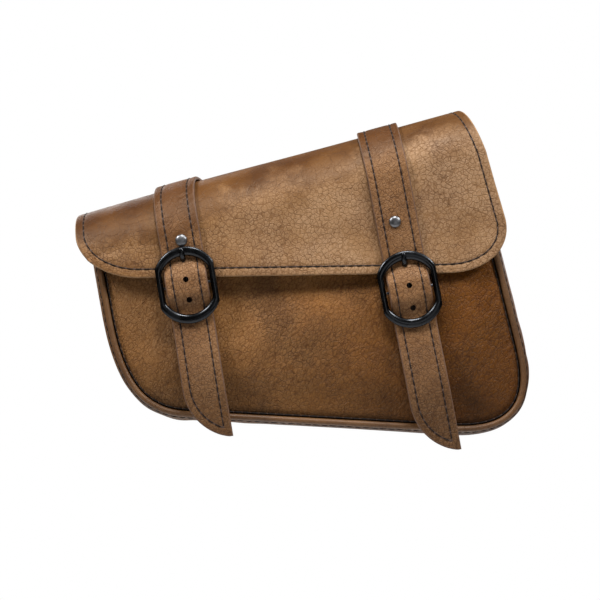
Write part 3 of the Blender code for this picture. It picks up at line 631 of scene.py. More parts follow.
def flap_profile():
    """Length, depth, height and normal along the flap's inner face, from the roll to the fold."""
    centre = FLAP_FACE - ROLL_DEPTH
    angles = np.linspace(0.0, 0.5 * math.pi, 50)
    run = [(centre + ROLL_DEPTH * math.cos(a), ROLL_START + ROLL_HEIGHT * math.sin(a))
           for a in angles]
    top = ROLL_START + ROLL_HEIGHT
    end = LEATHER + FLAP_INNER + FOLD_RADIUS * 0.67
    for share in np.linspace(0.0, 1.0, 30)[1:]:
        depth = centre + (end - centre) * share
        run.append((depth, top - CROWN_DROP * ((centre - depth) / (centre - CROWN_END)) ** 2))
    before, last = np.array(run[-2]), np.array(run[-1])
    lean = math.atan2(*(before - last)[::-1])
    for angle in np.linspace(0.5 * math.pi + lean, math.pi, 9)[1:]:
        turn = 0.5 * math.pi + lean
        run.append((last[0] + FOLD_RADIUS * (math.cos(angle) - math.cos(turn)),
                    last[1] + FOLD_RADIUS * (math.sin(angle) - math.sin(turn))))
    run.append((run[-1][0], FOLD_FOOT))
    run = np.array(run)
    tangent = np.gradient(run, axis=0)
    tangent[0] = (0.0, 1.0)
    tangent[-1] = (0.0, -1.0)
    tangent = unit(tangent)
    return run_length(run), run[:, 0], run[:, 1], tangent[:, 1], -tangent[:, 0]


PROFILE = flap_profile()
PROFILE_END = PROFILE[0][-1]


def flap_wave(u, length):
    """Slow unevenness of the flap's leather, which its straps share."""
    wave = 0.45 * MM * np.sin(u / (41.0 * MM) + 0.6) * np.sin(length / (38.0 * MM) + 1.1)
    wave += 0.30 * MM * np.sin(u / (19.0 * MM) + length / (27.0 * MM))
    calm = 1.0 - smoothstep(length / (30.0 * MM))
    crown = 1.3 * MM * np.exp(-((u + 62.0 * MM) / (85.0 * MM)) ** 2)
    crown = crown * smoothstep(length / (40.0 * MM))
    near_fold = smoothstep((PROFILE_END - length) / (30.0 * MM))
    return (wave * calm + crown) * near_fold


def on_flap(u, length, offset):
    """Points of the flap: along the fold, along the leather, and off its inner face."""
    u, length, offset = np.broadcast_arrays(u, length, offset)
    knots, depth, height, out, up = PROFILE
    low = np.minimum(length, 0.0)
    d = np.interp(length, knots, depth)
    h = np.interp(length, knots, height) + low
    n_out = np.interp(length, knots, out)
    n_up = np.interp(length, knots, up)
    offset = offset + flap_wave(u, length)
    return (U * u[..., None] + W * (h + n_up * offset)[..., None]
            + FRONT * (d + n_out * offset)[..., None])


def flap_normal(length):
    n_out = np.interp(length, PROFILE[0], PROFILE[3])
    n_up = np.interp(length, PROFILE[0], PROFILE[4])
    return W * np.asarray(n_up)[..., None] + FRONT * np.asarray(n_out)[..., None]


def flap_ends(length, inset=0.0):
    """Where the flap's left and right ends lie along the fold, at a place along the leather."""
    crown = 64.0 * MM
    share = np.clip(np.asarray(length) / crown, 0.0, 1.0)
    fold = smoothstep((length - (PROFILE_END - 26.0 * MM)) / (24.0 * MM))
    left = FLAP_ENDS[0] + inset + FLAP_TAPER[0] * share + FOLD_NARROWING[0] * fold
    right = FLAP_ENDS[1] - inset - FLAP_TAPER[1] * share - FOLD_NARROWING[1] * fold
    return left, right


def flap_edge(u, inset=0.0):
    """Length at which the flap's lower edge lies, at a place along the fold."""
    level = FLAP_EDGE[0] + FLAP_EDGE[1] * u - ROLL_START + inset
    for end, (run, rise) in zip((FLAP_ENDS[0] + inset, FLAP_ENDS[1] - inset), FLAP_CORNERS):
        share = np.clip(1.0 - np.abs(u - end) / run, 0.0, 1.0)
        level = level + rise * (1.0 - np.sqrt(1.0 - share * share))
    return level


RIM = np.array((0.0, 0.1, 0.3, 0.6, 1.0, 1.6, 2.6, 3.8, 4.8, 5.6, 6.2, 6.8, 7.4, 8.0, 8.8, 10.0,
                12.0, 14.5)) * MM


def flap_columns(inset, steps):
    """Places along the fold for the flap's two rounded corners, closer together towards its ends."""
    curve = 1.0 - np.cos(0.5 * math.pi * np.linspace(0.0, 1.0, steps))
    return (FLAP_ENDS[0] + inset + FLAP_CORNERS[0][0] * curve,
            FLAP_ENDS[1] - inset - FLAP_CORNERS[1][0] * curve[::-1])


def between_ends(us, lengths, inset):
    """Places along the fold, moved so that they run between the flap's tapering ends."""
    left, right = FLAP_ENDS[0] + inset, FLAP_ENDS[1] - inset
    low, high = flap_ends(lengths, inset)
    return low + (us - left) / (right - left) * (high - low)


def flap_grid(inset=0.0, step=3.4 * MM, stop=0.0):
    """Places (u, length) over the flap: rows run from its lower edge to the fold."""
    first, last = flap_columns(inset, 31)
    gap = last[0] - first[-1]
    middle = np.linspace(first[-1], last[0], int(gap / step) + 1)[1:-1]
    us = np.concatenate([first, middle, last])
    lengths = []
    for start in flap_edge(us, inset):
        total = PROFILE_END - stop - start
        lengths.append(start + np.concatenate([RIM, np.linspace(RIM[-1], total, 60)[1:]]))
    lengths = np.array(lengths).T
    return between_ends(np.broadcast_to(us, lengths.shape), lengths, inset), lengths


def flap_outline():
    """The flap's rim in (u, length): down its left end, along its lower edge, up its right end."""
    us = np.concatenate(flap_columns(0.0, 40))
    levels = flap_edge(us)
    down = np.linspace(PROFILE_END, levels[0], 40)[:-1]
    rise = np.linspace(levels[-1], PROFILE_END, 40)[1:]
    us = np.concatenate([flap_ends(down)[0], between_ends(us, levels, 0.0), flap_ends(rise)[1]])
    return np.stack([us, np.concatenate([down, levels, rise])], axis=1)


def flap_flare(u, length):
    """How far the flap's lower edge stands off the bag, between and beside its straps."""
    rise = 2.6 * MM * smoothstep(1.0 - (length - flap_edge(u)) / (34.0 * MM)) * (length < 0.0)
    for side in SIDES.values():
        rise = rise * (1.0 - 0.85 * np.exp(-((u - strap_place(side)[1]) / (24.0 * MM)) ** 2))
    return rise


def make_flap():
    us, lengths = flap_grid()
    outline = flap_outline()
    flat = np.stack([us.ravel(), lengths.ravel()], axis=1)
    distance = edge_distance(flat, outline).reshape(us.shape)
    flare = flap_flare(us, lengths)
    outer = FLAP_OUTER - soft_edge(distance) - stitch_groove(distance, FLAP_STITCH_INSET) + flare
    inner = FLAP_INNER + 0.6 * soft_edge(distance) + flare
    front = on_flap(us, lengths, outer)
    back = on_flap(us, lengths, inner)
    flap = leather_sheet("flap_leather", front, back, [FLAP_LEATHER, CUT_EDGE], distance)
    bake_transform(flap)
    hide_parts("flap")

    row = even_points(inset_line(outline, FLAP_STITCH_INSET))
    row = row[row[:, 1] < PROFILE_END - 10.0 * MM]
    line = on_flap(row[:, 0], row[:, 1], FLAP_OUTER - GROOVE + flap_flare(row[:, 0], row[:, 1]))
    stitches = sew("flap_stitching", line, flap_normal(row[:, 1]))
    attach(stitches, "flap")

    us, lengths = flap_grid(inset=2.2 * MM, step=6.0 * MM, stop=9.0 * MM)
    flare = flap_flare(us, lengths)
    lining = leather_sheet("flap_lining_cloth", on_flap(us, lengths, 1.25 * MM + flare),
                          on_flap(us, lengths, 0.25 * MM + flare), [LINING_CLOTH])
    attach(lining, "flap")
    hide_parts("flap_lining")


# ---------------------------------------------------------------- straps

def local(side, across, up, depth):
    """Points beside a buckle: across its strap, up along it, and in front of the back plane."""
    across, up, depth = np.broadcast_arrays(across, up, depth)
    tilt = side["tilt"]
    x = side["x"] + across * math.cos(tilt) - up * math.sin(tilt)
    z = side["z"] + across * math.sin(tilt) + up * math.cos(tilt)
    return np.stack([x, -depth, z], axis=-1)


def arc_circle(half, side_height):
    width, height = half
    rise = height - side_height
    radius = (width * width + rise * rise) / (2.0 * rise)
    return radius, height - radius


def strap_place(side):
    """The strap's lean from the flap's own direction, and its buckle's place (u, length) on the flap."""
    u = side["x"] * math.cos(SLANT) + side["z"] * math.sin(SLANT)
    length = -side["x"] * math.sin(SLANT) + side["z"] * math.cos(SLANT) - ROLL_START
    return SLANT - side["tilt"], u, length


def hump(across, up):
    """How far the strap stands forward where it passes over the buckle's bar."""
    radius, centre = arc_circle(WINDOW_HALF, WINDOW_SIDE)
    end = centre + np.sqrt(radius * radius - across * across) - 0.5 * MM
    share = np.clip((np.abs(up) - HUMP_FLAT) / (end - HUMP_FLAT), 0.0, 1.0)
    return STRAP_HUMP * 0.5 * (1.0 + np.cos(math.pi * share))


def tail_lean(up):
    """How far the free end hangs forward of the strap above it."""
    drop = np.clip(-up - 26.0 * MM, 0.0, None)
    return 8.0 * MM * smoothstep(drop / (60.0 * MM)) * np.cos(drop / (110.0 * MM))


def strap_limits(side, up):
    """The strap's left and right edges at a height: its free end curves across to a point."""
    bend = side["tip"] - TIP_CURVE
    share = np.clip((-up - bend) / TIP_CURVE, 0.0, 1.0)
    left = STRAP_HALF - 2.0 * STRAP_HALF * (1.0 - share ** 2.2) ** 0.62
    return np.where(-up > bend, left, -STRAP_HALF), np.full_like(up, STRAP_HALF)


def strap_outline(side, top):
    """The strap's edge in (across, up): down its left side, round the tip, up its right side."""
    bend = side["tip"] - TIP_CURVE
    tip = -side["tip"] + 0.3 * MM
    ups = np.concatenate([np.linspace(top, -bend, 60), -bend + (tip + bend) * np.sin(
        0.5 * math.pi * np.linspace(0.0, 1.0, 40)[1:])])
    left, right = strap_limits(side, ups)
    return np.concatenate([np.stack([left, ups], axis=1),
                           np.stack([right, ups], axis=1)[::-1]])


def strap_point(side, across, up, offset):
    """A point of the strap's leather, offset forward of its back face."""
    across, up, offset = np.broadcast_arrays(across, up, offset)
    lean, u0, s0 = strap_place(side)
    u = u0 + up * math.sin(lean) + across * math.cos(lean)
    length = s0 + up * math.cos(lean) - across * math.sin(lean)
    lift = 0.9 * MM * smoothstep((length + 8.0 * MM) / (40.0 * MM))
    rolled = on_flap(u, length, STRAP_INNER + offset + lift)
    rise = hump(across, up)
    slope = (hump(across, up + 0.05 * MM) - hump(across, up - 0.05 * MM)) / (0.1 * MM)
    wave = flap_wave(u, length) * smoothstep((up - 24.0 * MM) / (12.0 * MM))
    depth = STRAP_BACK + rise + offset * np.hypot(1.0, slope) + wave + tail_lean(up)
    flat = local(side, across, up, depth)
    return np.where((length > 0.0)[..., None], rolled, flat)


def strap_top(side):
    """How far up the strap runs, to just short of the fold."""
    lean, _, s0 = strap_place(side)
    return (PROFILE_END - STRAP_FROM_FOLD - s0) / math.cos(lean)


def make_strap(word, side):
    top = strap_top(side)
    bend = side["tip"] - TIP_CURVE
    ups = np.concatenate([
        top - np.array((0.0, 0.35, 0.8, 1.4, 2.4, 3.6, 4.8, 5.8, 6.8, 8.0)) * MM,
        np.arange(top - 10.5 * MM, 26.0 * MM, -2.6 * MM),
        np.arange(25.0 * MM, -32.0 * MM, -1.0 * MM),
        np.arange(-33.0 * MM, -bend, -2.4 * MM),
        -bend - (TIP_CURVE - 0.3 * MM) * np.sin(0.5 * math.pi * np.linspace(0.0, 1.0, 34))])
    shares = np.array((0.0, 0.012, 0.03, 0.06, 0.10, 0.14, 0.165, 0.19, 0.215, 0.25, 0.32, 0.41))
    shares = np.concatenate([shares, [0.5], 1.0 - shares[::-1]])
    left, right = strap_limits(side, ups)
    across = left[:, None] + (right - left)[:, None] * shares[None, :]
    up = np.repeat(ups[:, None], len(shares), axis=1)
    outline = strap_outline(side, top)
    closed = np.concatenate([outline, outline[:1]])
    flat = np.stack([across.ravel(), up.ravel()], axis=1)
    distance = edge_distance(flat, closed).reshape(across.shape)
    outer = STRAP - soft_edge(distance, 1.0 * MM) - stitch_groove(distance, STRAP_STITCH_INSET)
    inner = 0.5 * soft_edge(distance)
    front = strap_point(side, across, up, outer)
    back = strap_point(side, across, up, inner)
    strap = leather_sheet("strap_%s_leather" % word, front, back, [STRAP_LEATHER, DARK_EDGE],
                         distance)
    for hole in side["holes"]:
        punch(strap, side, hole)
    shaded(strap)
    joint = {"start": tuple(local(side, 0.0, TAIL_BEND[0], STRAP_BACK + STRAP)),
             "end": tuple(local(side, 0.0, TAIL_BEND[1], STRAP_BACK + STRAP))}
    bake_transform(strap)
    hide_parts("strap_" + word, "strap_tail_" + word)

    row = inset_line(outline, STRAP_STITCH_INSET)
    tip = np.argmin(row[:, 1])
    inside = edge_distance(row, closed) > STRAP_STITCH_INSET - 0.15 * MM
    halves = (row[:tip][inside[:tip]], row[tip:][inside[tip:]])
    for number, half in enumerate(halves):
        half = even_points(half)
        half = half[half[:, 1] < top - 7.0 * MM]
        line = strap_point(side, half[:, 0], half[:, 1], STRAP - GROOVE)
        ahead = strap_point(side, half[:, 0], half[:, 1], STRAP + 1.0 * MM)
        stitches = sew("strap_%s_stitching_%d" % (word, number + 1), line, ahead - line)
        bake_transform(stitches)


def punch(obj, side, up):
    """Punches a round hole through a strap."""
    angles = turns(24)
    rings = [local(side, HOLE_RADIUS * np.cos(angles), up + HOLE_RADIUS * np.sin(angles), depth)
             for depth in (STRAP_BACK - 4.0 * MM, STRAP_BACK + STRAP_HUMP + STRAP + 4.0 * MM)]
    cut_away(obj, rings, DARK_EDGE)


# ---------------------------------------------------------------- buckles and rivets

def frame_loop(half, side_height, blunt=0.9 * MM):
    """Outline of the buckle: straight sides and an arc at each end, with blunted corners."""
    radius, centre = arc_circle(half, side_height)
    sweep = math.asin(half[0] / radius)
    spread = blunt / radius
    angles = np.linspace(-sweep + spread, sweep - spread, 30)
    arc = np.stack([radius * np.sin(angles), centre + radius * np.cos(angles)], axis=1)
    side = np.linspace(side_height - blunt, -side_height + blunt, 16)
    right = np.stack([np.full(16, half[0]), side], axis=1)
    top_right = np.concatenate([arc, right])
    return np.concatenate([top_right, -top_right])


def make_buckle(word, side):
    outer = frame_loop(FRAME_HALF, FRAME_SIDE)
    inner = frame_loop(WINDOW_HALF, WINDOW_SIDE)
    section = [(0.04, 0.0), (0.0, 0.06), (0.0, 0.52), (0.02, 0.64), (0.06, 0.74), (0.13, 0.83),
               (0.22, 0.90), (0.33, 0.96), (0.46, 1.0), (0.59, 0.98), (0.71, 0.92), (0.81, 0.83),
               (0.89, 0.72), (0.95, 0.59), (0.985, 0.46), (1.0, 0.34), (1.0, 0.06), (0.96, 0.0)]
    share, height = np.array(section).T
    rings = [local(side, o[0] + (i[0] - o[0]) * share, o[1] + (i[1] - o[1]) * share,
                   FRAME_BACK + FRAME_THICK * height) for o, i in zip(outer, inner)]
    buckle = tube("buckle_frame_%s_metal" % word, rings, [GUNMETAL], closed=True, smooth=50.0)
    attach(buckle, "flap")
    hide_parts("buckle_frame_" + word)
    make_prong(word, side)


def make_prong(word, side):
    """The prong: curled round the bar, up behind the strap, out through its hole, over the frame."""
    bar = 0.5 * (depth_of("buckle_bar_" + word, "front") + depth_of("buckle_bar_" + word, "back"))
    hole = side["holes"][0]
    run = []
    for angle in np.radians(np.linspace(60.0, 275.0, 14)):
        run.append((1.85 * MM * math.cos(angle), bar + 1.85 * MM * math.sin(angle), 0.5, 1.8))
    run += [(6.0 * MM, bar - 1.2 * MM, 0.9, 1.3), (12.0 * MM, bar - 0.8 * MM, 1.05, 1.2),
            (hole - 3.0 * MM, bar - 1.4 * MM, 1.15, 1.3), (hole - 0.8 * MM, bar - 0.3 * MM, 1.4, 1.8),
            (hole + 0.8 * MM, bar + 1.7 * MM, 1.5, 2.0), (hole + 2.6 * MM, bar + 2.9 * MM, 1.5, 2.0),
            (25.2 * MM, bar + 3.7 * MM, 1.4, 1.9),
            (27.2 * MM, bar + 4.1 * MM, 1.1, 1.7), (28.6 * MM, bar + 4.0 * MM, 0.6, 1.2),
            (29.0 * MM, bar + 3.95 * MM, 0.2, 0.3)]
    tangent = unit(np.gradient(np.array(run)[:, :2], axis=0))
    rings = []
    angles = turns(12, 0.5)
    for (up, depth, thick, wide), direction in zip(run, tangent):
        reach = thick * MM * np.cos(angles)
        rings.append(local(side, wide * MM * np.sin(angles), up - direction[1] * reach,
                           depth + direction[0] * reach))
    prong = tube("buckle_prong_%s_metal" % word, rings, [GUNMETAL])
    smooth = prong.modifiers.new("smooth", "SUBSURF")
    smooth.levels = smooth.render_levels = 1
    apply_modifiers(prong)
    shaded(prong, 80.0)
    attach(prong, "flap")
    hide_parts("buckle_prong_" + word)


def make_rivet(word, side):
    """A domed cap pressed into the strap, with its shank."""
    seat = STRAP_BACK + STRAP - 0.1 * MM
    profile = [(1.5, -5.0), (1.5, 0.1), (4.35, 0.1), (4.6, 0.3), (4.62, 0.55)]
    for angle in np.radians(np.linspace(8.0, 88.0, 12)):
        profile.append((4.6 * math.cos(angle), 0.6 + 2.1 * math.sin(angle)))
    centre = local(side, *side["rivet"], 0.0)
    angles = turns(40)
    rings = [np.stack([centre[0] + radius * MM * np.cos(angles), np.full(40, -(seat + depth * MM)),
                       centre[2] + radius * MM * np.sin(angles)], axis=1)
             for radius, depth in profile]
    cap = tube("rivet_cap_%s_metal" % word, rings, [NICKEL], smooth=45.0)
    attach(cap, "flap")
    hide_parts("rivet_cap_" + word)


# ---------------------------------------------------------------- body

def seam_path(steps=40):
    """The front seam in (x, z): down the left side, along the bottom, up the right side."""
    a, b, c, d = SEAM_CORNERS
    up_left, along, up_right = unit(a - b), unit(c - b), unit(d - c)
    (run_a, run_b, pull_b), (run_c, run_d, pull_c) = SEAM_ROUNDING
    corners = ((b, b + up_left * run_a, b + along * run_b, pull_b),
               (c, c - along * run_c, c + up_right * run_d, pull_c))
    path = [a]
    for corner, before, after, pull in corners:
        t = np.linspace(0.0, 1.0, steps)[:, None]
        first = before + (corner - before) * pull
        second = after + (corner - after) * pull
        path += list(before * (1 - t) ** 3 + first * 3 * (1 - t) ** 2 * t
                     + second * 3 * (1 - t) * t ** 2 + after * t ** 3)
    path.append(d)
    return even_points(np.array(path), 2.0 * MM)


SEAM = seam_path()


def offset_seam(distance):
    """The seam moved outwards."""
    return inset_line(SEAM, -distance)


def across_fold(points):
    return -points[..., 0] * math.sin(SLANT) + points[..., 1] * math.cos(SLANT)


def trimmed_seam(distance, height, count=None):
    """An offset seam cut off level with the fold at a height, with evenly spaced points."""
    line = offset_seam(distance)
    level = across_fold(line)
    first = np.argmax(level < height)
    last = len(level) - np.argmax(level[::-1] < height) - 1
    start, end = line[first], line[last]
    if first > 0:
        share = (height - level[first]) / (level[first - 1] - level[first])
        start = line[first] + (line[first - 1] - line[first]) * share
    if last < len(line) - 1:
        share = (height - level[last]) / (level[last + 1] - level[last])
        end = line[last] + (line[last + 1] - line[last]) * share
    line = np.concatenate([[start], line[first + 1:last], [end]])
    return even_points(line, count=count)


def at_depth(line, depth):
    depth = np.broadcast_to(depth, line.shape[:-1])
    return np.stack([line[..., 0], -depth, line[..., 1]], axis=-1)


def closed_panel(name, outline, front_depth, back_depth, materials):
    """A panel whose rows of points are rings that shrink from its outline to a ridge in its middle."""
    centre = 0.5 * (outline.min(axis=0) + outline.max(axis=0))
    reach = np.linalg.norm(outline - centre, axis=1)[:, None]
    edges = np.array((0.0, 0.5, 1.2, 2.2, 3.4, 5.0, 7.0, 9.5)) * MM
    grid = [outline + (centre - outline) * (distance / reach) for distance in edges]
    ridge = centre + (outline - centre) * 0.02
    base = grid[-1]
    grid = np.array(grid + [base + (ridge - base) * share for share in np.linspace(0.0, 1.0, 26)[1:]])
    flat = grid.reshape(-1, 2)
    faces = [at_depth(flat, depth(flat)).reshape(*grid.shape[:2], 3)
             for depth in (front_depth, back_depth)]
    return leather_sheet(name, *faces, materials, closed=True)


def seam_rim(line):
    """A trimmed seam with a straight run of points across its open end."""
    return np.concatenate([line, even_points([line[-1], line[0]], 3.0 * MM)[1:-1]])


def folds(points, turn, pitch, sharp):
    """Long soft creases that run at an angle, from a few crossing waves."""
    along = points[:, 0] * math.cos(turn) + points[:, 1] * math.sin(turn)
    across = -points[:, 0] * math.sin(turn) + points[:, 1] * math.cos(turn)
    bend = 2.4 * np.sin(along / (37.0 * MM)) + 1.3 * np.sin(along / (17.0 * MM) + 1.0)
    wave = np.sin(2.0 * math.pi * across / pitch + bend)
    gate = 0.5 + 0.5 * np.sin(along / (29.0 * MM) + across / (23.0 * MM))
    return -np.clip(wave - sharp, 0.0, None) / (1.0 - sharp) * gate


def make_front():
    line = trimmed_seam(-0.2 * MM, FRONT_TOP, 300)
    rim = seam_rim(line)
    closed = np.concatenate([rim, rim[:1]])
    plates = [np.array(local(side, 0.0, -CLASP_DOWN, 0.0))[[0, 2]] for side in SIDES.values()]

    def front_depth(flat):
        distance = edge_distance(flat, closed)
        seam = edge_distance(flat, line)
        drop = smoothstep((15.0 * MM - across_fold(flat)) / (44.0 * MM))
        dome = FRONT_DOME * smoothstep(seam / (38.0 * MM)) * drop - MOUTH_DIP * (1.0 - drop)
        crease = 0.45 * MM * folds(flat, math.radians(42.0), 17.0 * MM, 0.25)
        crease += 0.30 * MM * folds(flat, math.radians(-38.0), 26.0 * MM, 0.35)
        calm = smoothstep((seam - 3.0 * MM) / (14.0 * MM))
        for plate in plates:
            clear = smoothstep((np.linalg.norm(flat - plate, axis=1) - CLASP_CLEAR) / (20.0 * MM))
            calm = calm * clear
            dome = np.where(dome > 0.0, dome * clear, dome)
        tuck = 1.9 * MM * (1.0 - smoothstep(seam / (5.5 * MM)))
        return PANEL_FACE + dome + crease * calm - tuck - 0.3 * soft_edge(distance)

    panel = closed_panel("front_leather", rim, front_depth,
                         lambda flat: PANEL_FACE - LEATHER + 0.0 * flat[:, 0],
                         [BODY_LEATHER, CUT_EDGE])
    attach(panel, "body")
    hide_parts("front_panel")
    row = trimmed_seam(-0.9 * MM, FRONT_TOP - 8.0 * MM, 500)
    stitches = sew("front_seam_stitching", at_depth(row, PANEL_FACE - 1.30 * MM),
                   np.tile(FRONT, (len(row), 1)), 0.5)
    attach(stitches, "body")


def make_back():
    height = FOLD_FOOT - 0.05 * MM
    line = trimmed_seam(BACK_OVERLAP, height, 300)
    rim = seam_rim(line)

    def back_face(flat):
        distance = edge_distance(flat, line)
        return 0.6 * soft_edge(distance) + 0.7 * stitch_groove(distance, BACK_STITCH_INSET, 0.4 * MM)

    panel = closed_panel("back_leather", rim, lambda flat: LEATHER + 0.0 * flat[:, 0], back_face,
                         [BODY_LEATHER, CUT_EDGE])
    half_x, half_z = SLOT_HALF
    for opening in frame["record"]["physics"]["openings"]:
        if not opening["name"].startswith("strap_slot"):
            continue
        (x0, _, z0), (x1, _, z1) = opening["box_m"]
        x, z = 0.5 * (x0 + x1), 0.5 * (z0 + z1)
        rings = []
        for depth in (-4.0 * MM, 6.0 * MM):
            ring = []
            for sign in (1, -1):
                for angle in np.radians(np.linspace(-90.0, 90.0, 9)):
                    ring.append((x + sign * (half_x - half_z + half_z * math.cos(angle)), -depth,
                                 z + sign * half_z * math.sin(angle)))
            rings.append(ring)
        cut_away(panel, rings, CUT_EDGE)
        angles = np.radians(np.linspace(0.0, 360.0, 121))
        around = np.stack([x + (half_x + SLOT_STITCH_OUT) * np.sign(np.cos(angles))
                           * np.abs(np.cos(angles)) ** 0.35,
                           np.full(121, 0.15 * MM),
                           z + (half_z + SLOT_STITCH_OUT) * np.sign(np.sin(angles))
                           * np.abs(np.sin(angles)) ** 0.6], axis=1)
        around = even_points(around)
        stitches = sew(opening["name"] + "_stitching", around, np.tile(-FRONT, (len(around), 1)))
        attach(stitches, "body")
    shaded(panel)
    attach(panel, "body")
    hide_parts("back_panel")
    row = trimmed_seam(BACK_OVERLAP - BACK_STITCH_INSET, height - 3.0 * MM, 500)
    stitches = sew("back_stitching", at_depth(row, 0.28 * MM), np.tile(-FRONT, (len(row), 1)))
    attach(stitches, "body")


def gusset_offset(depth):
    depths, offsets = np.array(GUSSET_PROFILE).T * MM
    fine = np.interp(depth, depths, offsets)
    for shift in (1.5 * MM, 3.0 * MM):
        fine = fine + np.interp(depth - shift, depths, offsets) + np.interp(depth + shift, depths,
                                                                          offsets)
    return fine / 5.0


def gusset_top(depth):
    share = depth / PANEL_FACE
    return BACK_TOP + (FRONT_TOP - BACK_TOP) * share + GUSSET_RISE * 4.0 * share * (1.0 - share)


def make_gusset():
    first, last = GUSSET_PROFILE[0][0] * MM, GUSSET_PROFILE[-1][0] * MM
    depths = np.concatenate([np.linspace(first, last - 16.0 * MM, 34),
                             np.linspace(last - 16.0 * MM, last, 17)[1:]])
    count = 420
    outer, inner = [], []
    for depth in depths:
        out = float(gusset_offset(depth))
        top = float(gusset_top(depth))
        line = trimmed_seam(out, top, count)
        place = np.linspace(0.0, 1.0, count)
        round_corner = np.exp(-((place - 0.27) / 0.07) ** 2) + np.exp(-((place - 0.72) / 0.07) ** 2)
        middle = math.sin(math.pi * (depth - first) / (last - first))
        ripple = 0.55 * MM * round_corner * middle * np.sin(place * 150.0 + 3.0 * depth / (30.0 * MM))
        sag = 1.2 * MM * np.sin(place * 9.0 + 1.0) * middle
        furrow = stitch_groove(np.array([last - depth]), GUSSET_STITCH_INSET, 0.5 * MM, 1.4 * MM)[0]
        moved = inset_line(line, -(ripple + sag - furrow))
        outer.append(at_depth(moved, depth))
        inner.append(at_depth(inset_line(moved, LEATHER), depth))
    gusset = leather_sheet("gusset_leather", np.array(outer), np.array(inner),
                          [BODY_LEATHER, CUT_EDGE])
    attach(gusset, "body")
    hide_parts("gusset")
    index = int(np.argmin(np.abs(depths - (last - GUSSET_STITCH_INSET))))
    line = outer[index][4:-4]
    slope = unit(np.gradient(line, axis=0))
    out = np.stack([slope[:, 2], np.full(len(slope), -0.75), -slope[:, 0]], axis=1)
    stitches = sew("gusset_stitching", line + out * 0.10 * MM, out)
    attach(stitches, "body")


def make_piping():
    line = trimmed_seam(PIPING_OUT, FRONT_TOP - 1.0 * MM, 420)
    tangent = unit(np.gradient(line, axis=0))
    out = np.stack([tangent[:, 1], -tangent[:, 0]], axis=1)
    angles = turns(16)
    rings = []
    for i, (spot, away) in enumerate(zip(line, out)):
        size = PIPING_RADIUS * (1.0 + 0.035 * math.sin(i * 0.31) * math.sin(i * 0.083 + 1.0))
        reach = size * np.cos(angles)
        rings.append(np.stack([spot[0] + away[0] * reach,
                               -(PIPING_DEPTH + size * np.sin(angles)),
                               spot[1] + away[1] * reach], axis=1))
    piping = tube("front_piping_leather", rings, [PIPING_LEATHER])
    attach(piping, "body")
    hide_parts("front_piping")


def finish_cad_nodes():
    """Better materials for the CAD pieces that stay as they are."""
    finishes = {"back_board": BOARD_CLOTH, "front_board": BOARD_CLOTH,
                "mouth_binding": BINDING_LEATHER}
    for word in SIDES:
        finishes.update({"clasp_plate_" + word: CLASP_METAL, "clasp_washer_" + word: CLASP_METAL,
                         "buckle_bar_" + word: BAR_METAL, "buckle_chape_" + word: CHAPE_SHADED_LEATHER,
                         "clasp_magnet_" + word: CLASP_METAL, "rivet_washer_" + word: CLASP_METAL})
    for name, material in finishes.items():
        node = frame["nodes"][name]
        node.data.materials.clear()
        node.data.materials.append(material)


# ---------------------------------------------------------------- studio

CAMERA_PLACE = (-1.6 * MM, -1.213, 0.0)
AMBIENT = 0.035
FLOOR_LEVEL = -0.56
FLOOR_RADIUS = 1.25


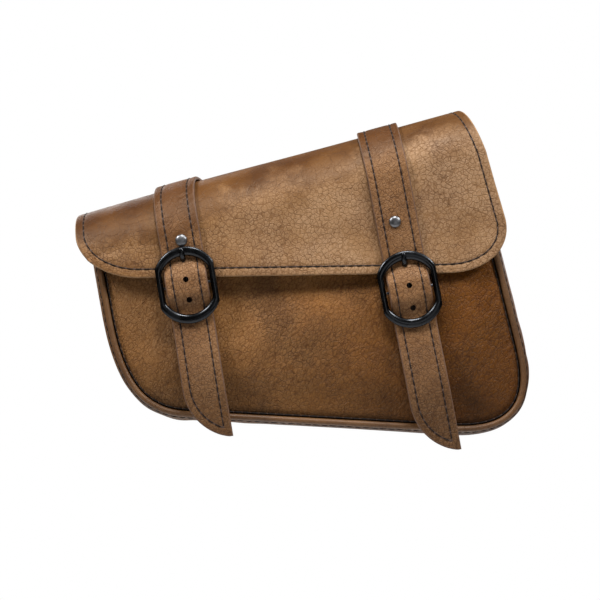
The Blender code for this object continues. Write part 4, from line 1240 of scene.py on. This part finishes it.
def make_studio():
    scene = bpy.context.scene
    scene.view_settings.view_transform = "Standard"
    camera = bpy.data.objects.new("camera", bpy.data.cameras.new("camera"))
    camera.location = CAMERA_PLACE
    camera.rotation_euler = (math.radians(90.0), 0.0, 0.0)
    camera.data.lens = 85.2
    scene.collection.objects.link(camera)
    scene.camera = camera

    world = bpy.data.worlds.new("studio")
    scene.world = world
    world.use_nodes = True
    nodes, links = world.node_tree.nodes, world.node_tree.links
    seen = nodes["Background"]
    seen.inputs["Color"].default_value = (1.0, 1.0, 1.0, 1.0)
    seen.inputs["Strength"].default_value = 1.0
    ambient = nodes.new("ShaderNodeBackground")
    ambient.inputs["Color"].default_value = (0.95, 0.97, 1.0, 1.0)
    ambient.inputs["Strength"].default_value = AMBIENT
    choice = nodes.new("ShaderNodeMixShader")
    path = nodes.new("ShaderNodeLightPath")
    links.new(path.outputs["Is Camera Ray"], choice.inputs[0])
    links.new(ambient.outputs[0], choice.inputs[1])
    links.new(seen.outputs[0], choice.inputs[2])
    links.new(choice.outputs[0], nodes["World Output"].inputs["Surface"])

    lights = {"left_box": ((-1.05, -0.66, 0.95), 0.32, 22.5),
              "right_box": ((1.05, -0.66, 0.95), 0.32, 20.0),
              "top_box": ((0.05, -0.56, 1.02), 0.34, 14.5),
              "front_box": ((0.30, -1.70, -0.02), 0.55, 1.6),
              "back_left_box": ((-0.8, 1.2, 0.6), 0.9, 8.0),
              "back_right_box": ((0.8, 1.2, 0.6), 0.9, 8.0)}
    for name, (place, size, power) in lights.items():
        data = bpy.data.lights.new(name, "AREA")
        data.shape = "SQUARE"
        data.size = size
        data.energy = power
        light = bpy.data.objects.new(name, data)
        light.location = place
        light.rotation_euler = (-Vector(place)).to_track_quat("-Z", "Y").to_euler()
        light.visible_camera = False
        scene.collection.objects.link(light)

    pale = Shader("floor_finish", (0.86, 0.86, 0.86), 0.7, rigid=True)
    rings = [[(radius * math.cos(a), radius * math.sin(a), FLOOR_LEVEL - drop)
              for a in np.linspace(0.0, 2.0 * math.pi, 97)[:-1]]
             for radius, drop in ((FLOOR_RADIUS, 0.01), (FLOOR_RADIUS, 0.0))]
    floor = tube("floor", rings, [pale.finish()])


def keep_rest_places():
    """Records where each point of the new pieces is at rest, for their textures."""
    for obj in bpy.context.scene.objects:
        if obj.type != "MESH" or obj.name in frame["nodes"]:
            continue
        places = np.zeros(len(obj.data.vertices) * 3, np.float32)
        obj.data.vertices.foreach_get("co", places)
        attribute = obj.data.attributes.new(REST_PLACE, "FLOAT_VECTOR", "POINT")
        attribute.data.foreach_set("vector", places)


make_studio()
make_flap()
for side_word, side_facts in SIDES.items():
    make_strap(side_word, side_facts)
    make_buckle(side_word, side_facts)
    make_rivet(side_word, side_facts)
make_front()
make_back()
make_gusset()
make_piping()
finish_cad_nodes()
keep_rest_places()
